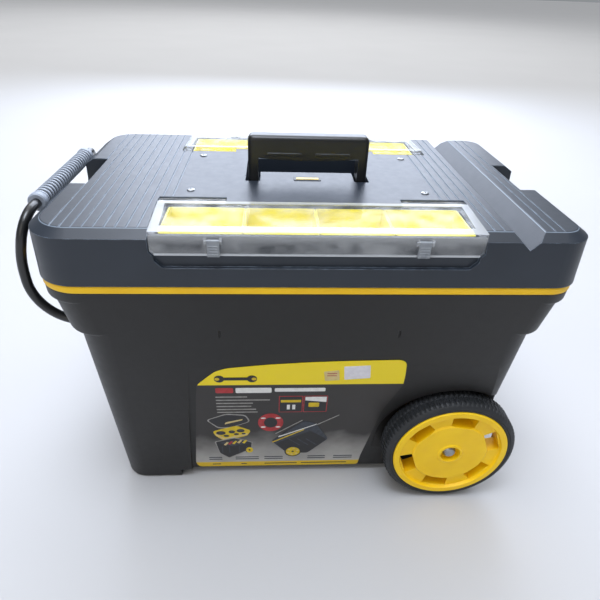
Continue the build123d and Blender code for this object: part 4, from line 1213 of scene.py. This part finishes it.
@dataclass
class CarryTrim:
    """Low finger ridges on both faces of the carry handle."""

    face_y: float = -31.0
    thickness: float = 22.0
    low: float = 449.8
    high: float = 453.4
    spans: tuple[tuple[float, float], ...] = ((-50.0, -8.0), (8.0, 50.0))
    steps: tuple[tuple[float, float], ...] = ((0.0, -0.3), (0.0, 0.3), (0.5, 0.7))

    def ridge(self, outline: np.ndarray, face: float, out: float) -> Shape:
        """One ridge, drawn in a little at its top.

        Args:
            outline: array of (corners, 2), x and z in mm.
            face: y of the handle's face.
            out: -1 where the face looks forward and 1 where it looks back.

        Returns:
            The closed ridge, through a ring for each (inset, height) in `steps`.
        """
        rings = []
        for shift, lift in self.steps:
            ring = inset(outline, shift) if shift else outline
            rings.append(np.column_stack([ring[:, 0], np.full(len(ring), face + out * lift), ring[:, 1]]))
        return stacked(rings)

    def build(self, finishes: Finishes) -> None:
        """Adds two ridges on each face.

        Args:
            finishes: where the material comes from.
        """
        faces = ((self.face_y, -1.0), (self.face_y + self.thickness, 1.0))
        outlines = [rounded(rectangle(x0, x1, self.low, self.high), 1.5) for x0, x1 in self.spans]
        shapes = [self.ridge(outline, face, out) for outline in outlines for face, out in faces]
        add_piece("carry_handle_ridges", shapes, finishes.get(HANDLE_FINISH), Body.CARRY)


@dataclass
class LatchTrim:
    """Grip ribs across the outer face of each end latch."""

    pin_x: float = 297.0
    y0: float = -26.0
    y1: float = 22.0
    face_z: tuple[float, float] = (366.0, 391.0)
    face_out: tuple[float, float] = (2.4, -6.5)
    rib_r: float = 1.2
    rib_z: tuple[float, ...] = (372.0, 376.5, 381.0, 385.5)

    def rib(self, side: float, z: float) -> Shape:
        """A round bar along Y, half sunk in the latch's sloping face.

        Args:
            side: -1 for the left latch and 1 for the right one.
            z: the rib's height in mm.

        Returns:
            The closed bar, at (side (face + r cos t), y, z + r sin t).
        """
        face = self.pin_x + float(np.interp(z, self.face_z, self.face_out))
        t = np.linspace(0.0, TURN, 14, endpoint=False)
        ends = [np.stack([side * (face + self.rib_r * np.cos(t)), np.full(len(t), y),
                          z + self.rib_r * np.sin(t)], axis=1) for y in (self.y0, self.y1)]
        return stacked(ends)

    def build(self, finishes: Finishes) -> None:
        """Adds the ribs of both latches.

        Args:
            finishes: where the material comes from.
        """
        for side, body in ((-1.0, Body.LEFT_LATCH), (1.0, Body.RIGHT_LATCH)):
            ribs = [self.rib(side, z) for z in self.rib_z]
            add_piece(f"{body.value}_ribs", ribs, finishes.get(LATCH_FINISH), body)


# ------------------------------------------------------------------ studio
@dataclass(frozen=True)
class Lamp:
    """One light.

    Attributes:
        name: its name.
        power: watts of a square panel, or strength of the sky.
        place: where it stands, in metres of the row's frame.
        size: side of the panel in metres, or 0 for the sky.
        spread: the sky's width in degrees, which softens its shadows.
        colour: sRGB hex.
        aim: the point that it faces, in metres.
    """

    name: str
    power: float
    place: tuple[float, float, float]
    size: float = 0.0
    spread: float = 0.0
    colour: str = "ffffff"
    aim: tuple[float, float, float] = (0.0, 0.0, 0.25)

    def build(self) -> None:
        """Adds the light to the scene, unseen by the camera."""
        data = bpy.data.lights.new(self.name, "AREA" if self.size else "SUN")
        data.energy = self.power
        data.color = linear(self.colour)[:3]
        if self.size:
            data.shape, data.size = "SQUARE", self.size
        else:
            data.angle = math.radians(self.spread)
        lamp = bpy.data.objects.new(self.name, data)
        lamp.location = self.place
        lamp.rotation_euler = (Vector(self.aim) - Vector(self.place)).to_track_quat("-Z", "Y").to_euler()
        lamp.visible_camera = False
        bpy.context.scene.collection.objects.link(lamp)


@dataclass
class Studio:
    """Pale floor, soft lights and the camera. Angles are in radians."""

    camera_mm: tuple[float, float, float] = (-46.3, -636.8, 631.6)
    pitch: float = 0.567
    yaw: float = 0.0703
    roll: float = -0.0395
    lens_mm: float = 30.43
    sensor_mm: float = 36.0
    clip: tuple[float, float] = (0.01, 100.0)
    floor_half: float = 30.0
    world_colour: str = "e6ebf2"
    world_strength: float = 0.34
    lamps: tuple[Lamp, ...] = (
        Lamp("back_panel", 80.0, (0.1, 2.3, 1.75), 2.4, colour="dfeaff"),
        Lamp("overhead", 38.0, (-0.2, -0.5, 2.5), 1.0, colour="e6efff"),
        Lamp("sky", 1.3, (0.0, 0.0, 3.0), spread=70.0, aim=(0.0, 0.0, 0.0)),
        Lamp("front_fill", 13.0, (-1.0, -2.3, 1.4), 2.0, colour="fff8ee"),
        Lamp("floor_wash", 300.0, (0.0, 6.5, 4.5), 8.0, aim=(0.0, 6.6, 0.0)),
    )

    def floor(self) -> None:
        """A wide, flat, pale floor."""
        mesh = bpy.data.meshes.new("floor")
        h = self.floor_half
        mesh.from_pydata([(-h, -h, 0), (h, -h, 0), (h, h, 0), (-h, h, 0)], [], [(0, 1, 2, 3)])
        mesh.materials.append(FLOOR_FINISH.build())
        floor = bpy.data.objects.new("floor", mesh)
        bpy.context.scene.collection.objects.link(floor)

    def camera(self) -> None:
        """Camera that looks at the chest's front from above.

        Forward is +Y turned by yaw towards +X and pitched down. Level is square to it and flat, under is
        their cross product, and both then turn by the roll round forward.
        """
        ahead = np.array([math.sin(self.yaw), math.cos(self.yaw), 0.0])
        forward = math.cos(self.pitch) * ahead - math.sin(self.pitch) * np.array([0.0, 0.0, 1.0])
        level = np.array([ahead[1], -ahead[0], 0.0])
        under = np.cross(forward, level)
        right = math.cos(self.roll) * level + math.sin(self.roll) * under
        down = -math.sin(self.roll) * level + math.cos(self.roll) * under
        turn = Matrix(np.stack([right, -down, -forward], axis=1).tolist()).to_4x4()
        data = bpy.data.cameras.new("camera")
        data.lens, data.sensor_width = self.lens_mm, self.sensor_mm
        data.clip_start, data.clip_end = self.clip
        camera = bpy.data.objects.new("camera", data)
        camera.matrix_world = Matrix.Translation(in_row(np.array(self.camera_mm)).tolist()) @ turn
        bpy.context.scene.collection.objects.link(camera)
        bpy.context.scene.camera = camera

    def world(self) -> None:
        """A dim, even, cool surround, and colours shown as they are."""
        world = bpy.data.worlds.new("studio")
        world.use_nodes = True
        background = world.node_tree.nodes["Background"]
        background.inputs["Color"].default_value = linear(self.world_colour)
        background.inputs["Strength"].default_value = self.world_strength
        bpy.context.scene.world = world
        bpy.context.scene.view_settings.view_transform = "Standard"

    def build(self) -> None:
        """Everything round the object."""
        self.floor()
        self.camera()
        for lamp in self.lamps:
            lamp.build()
        self.world()


def main() -> None:
    """Builds the studio and every sub-assembly."""
    logging.basicConfig(level=logging.INFO, format="%(name)s %(message)s")
    Studio().build()
    finishes = Finishes()
    finishes.dress_nodes()
    for assembly in (Tyre(), PullHandle(), Label(), LidTrim(), CarryTrim(), LatchTrim()):
        assembly.build(finishes)


if __name__ == "__main__":
    main()
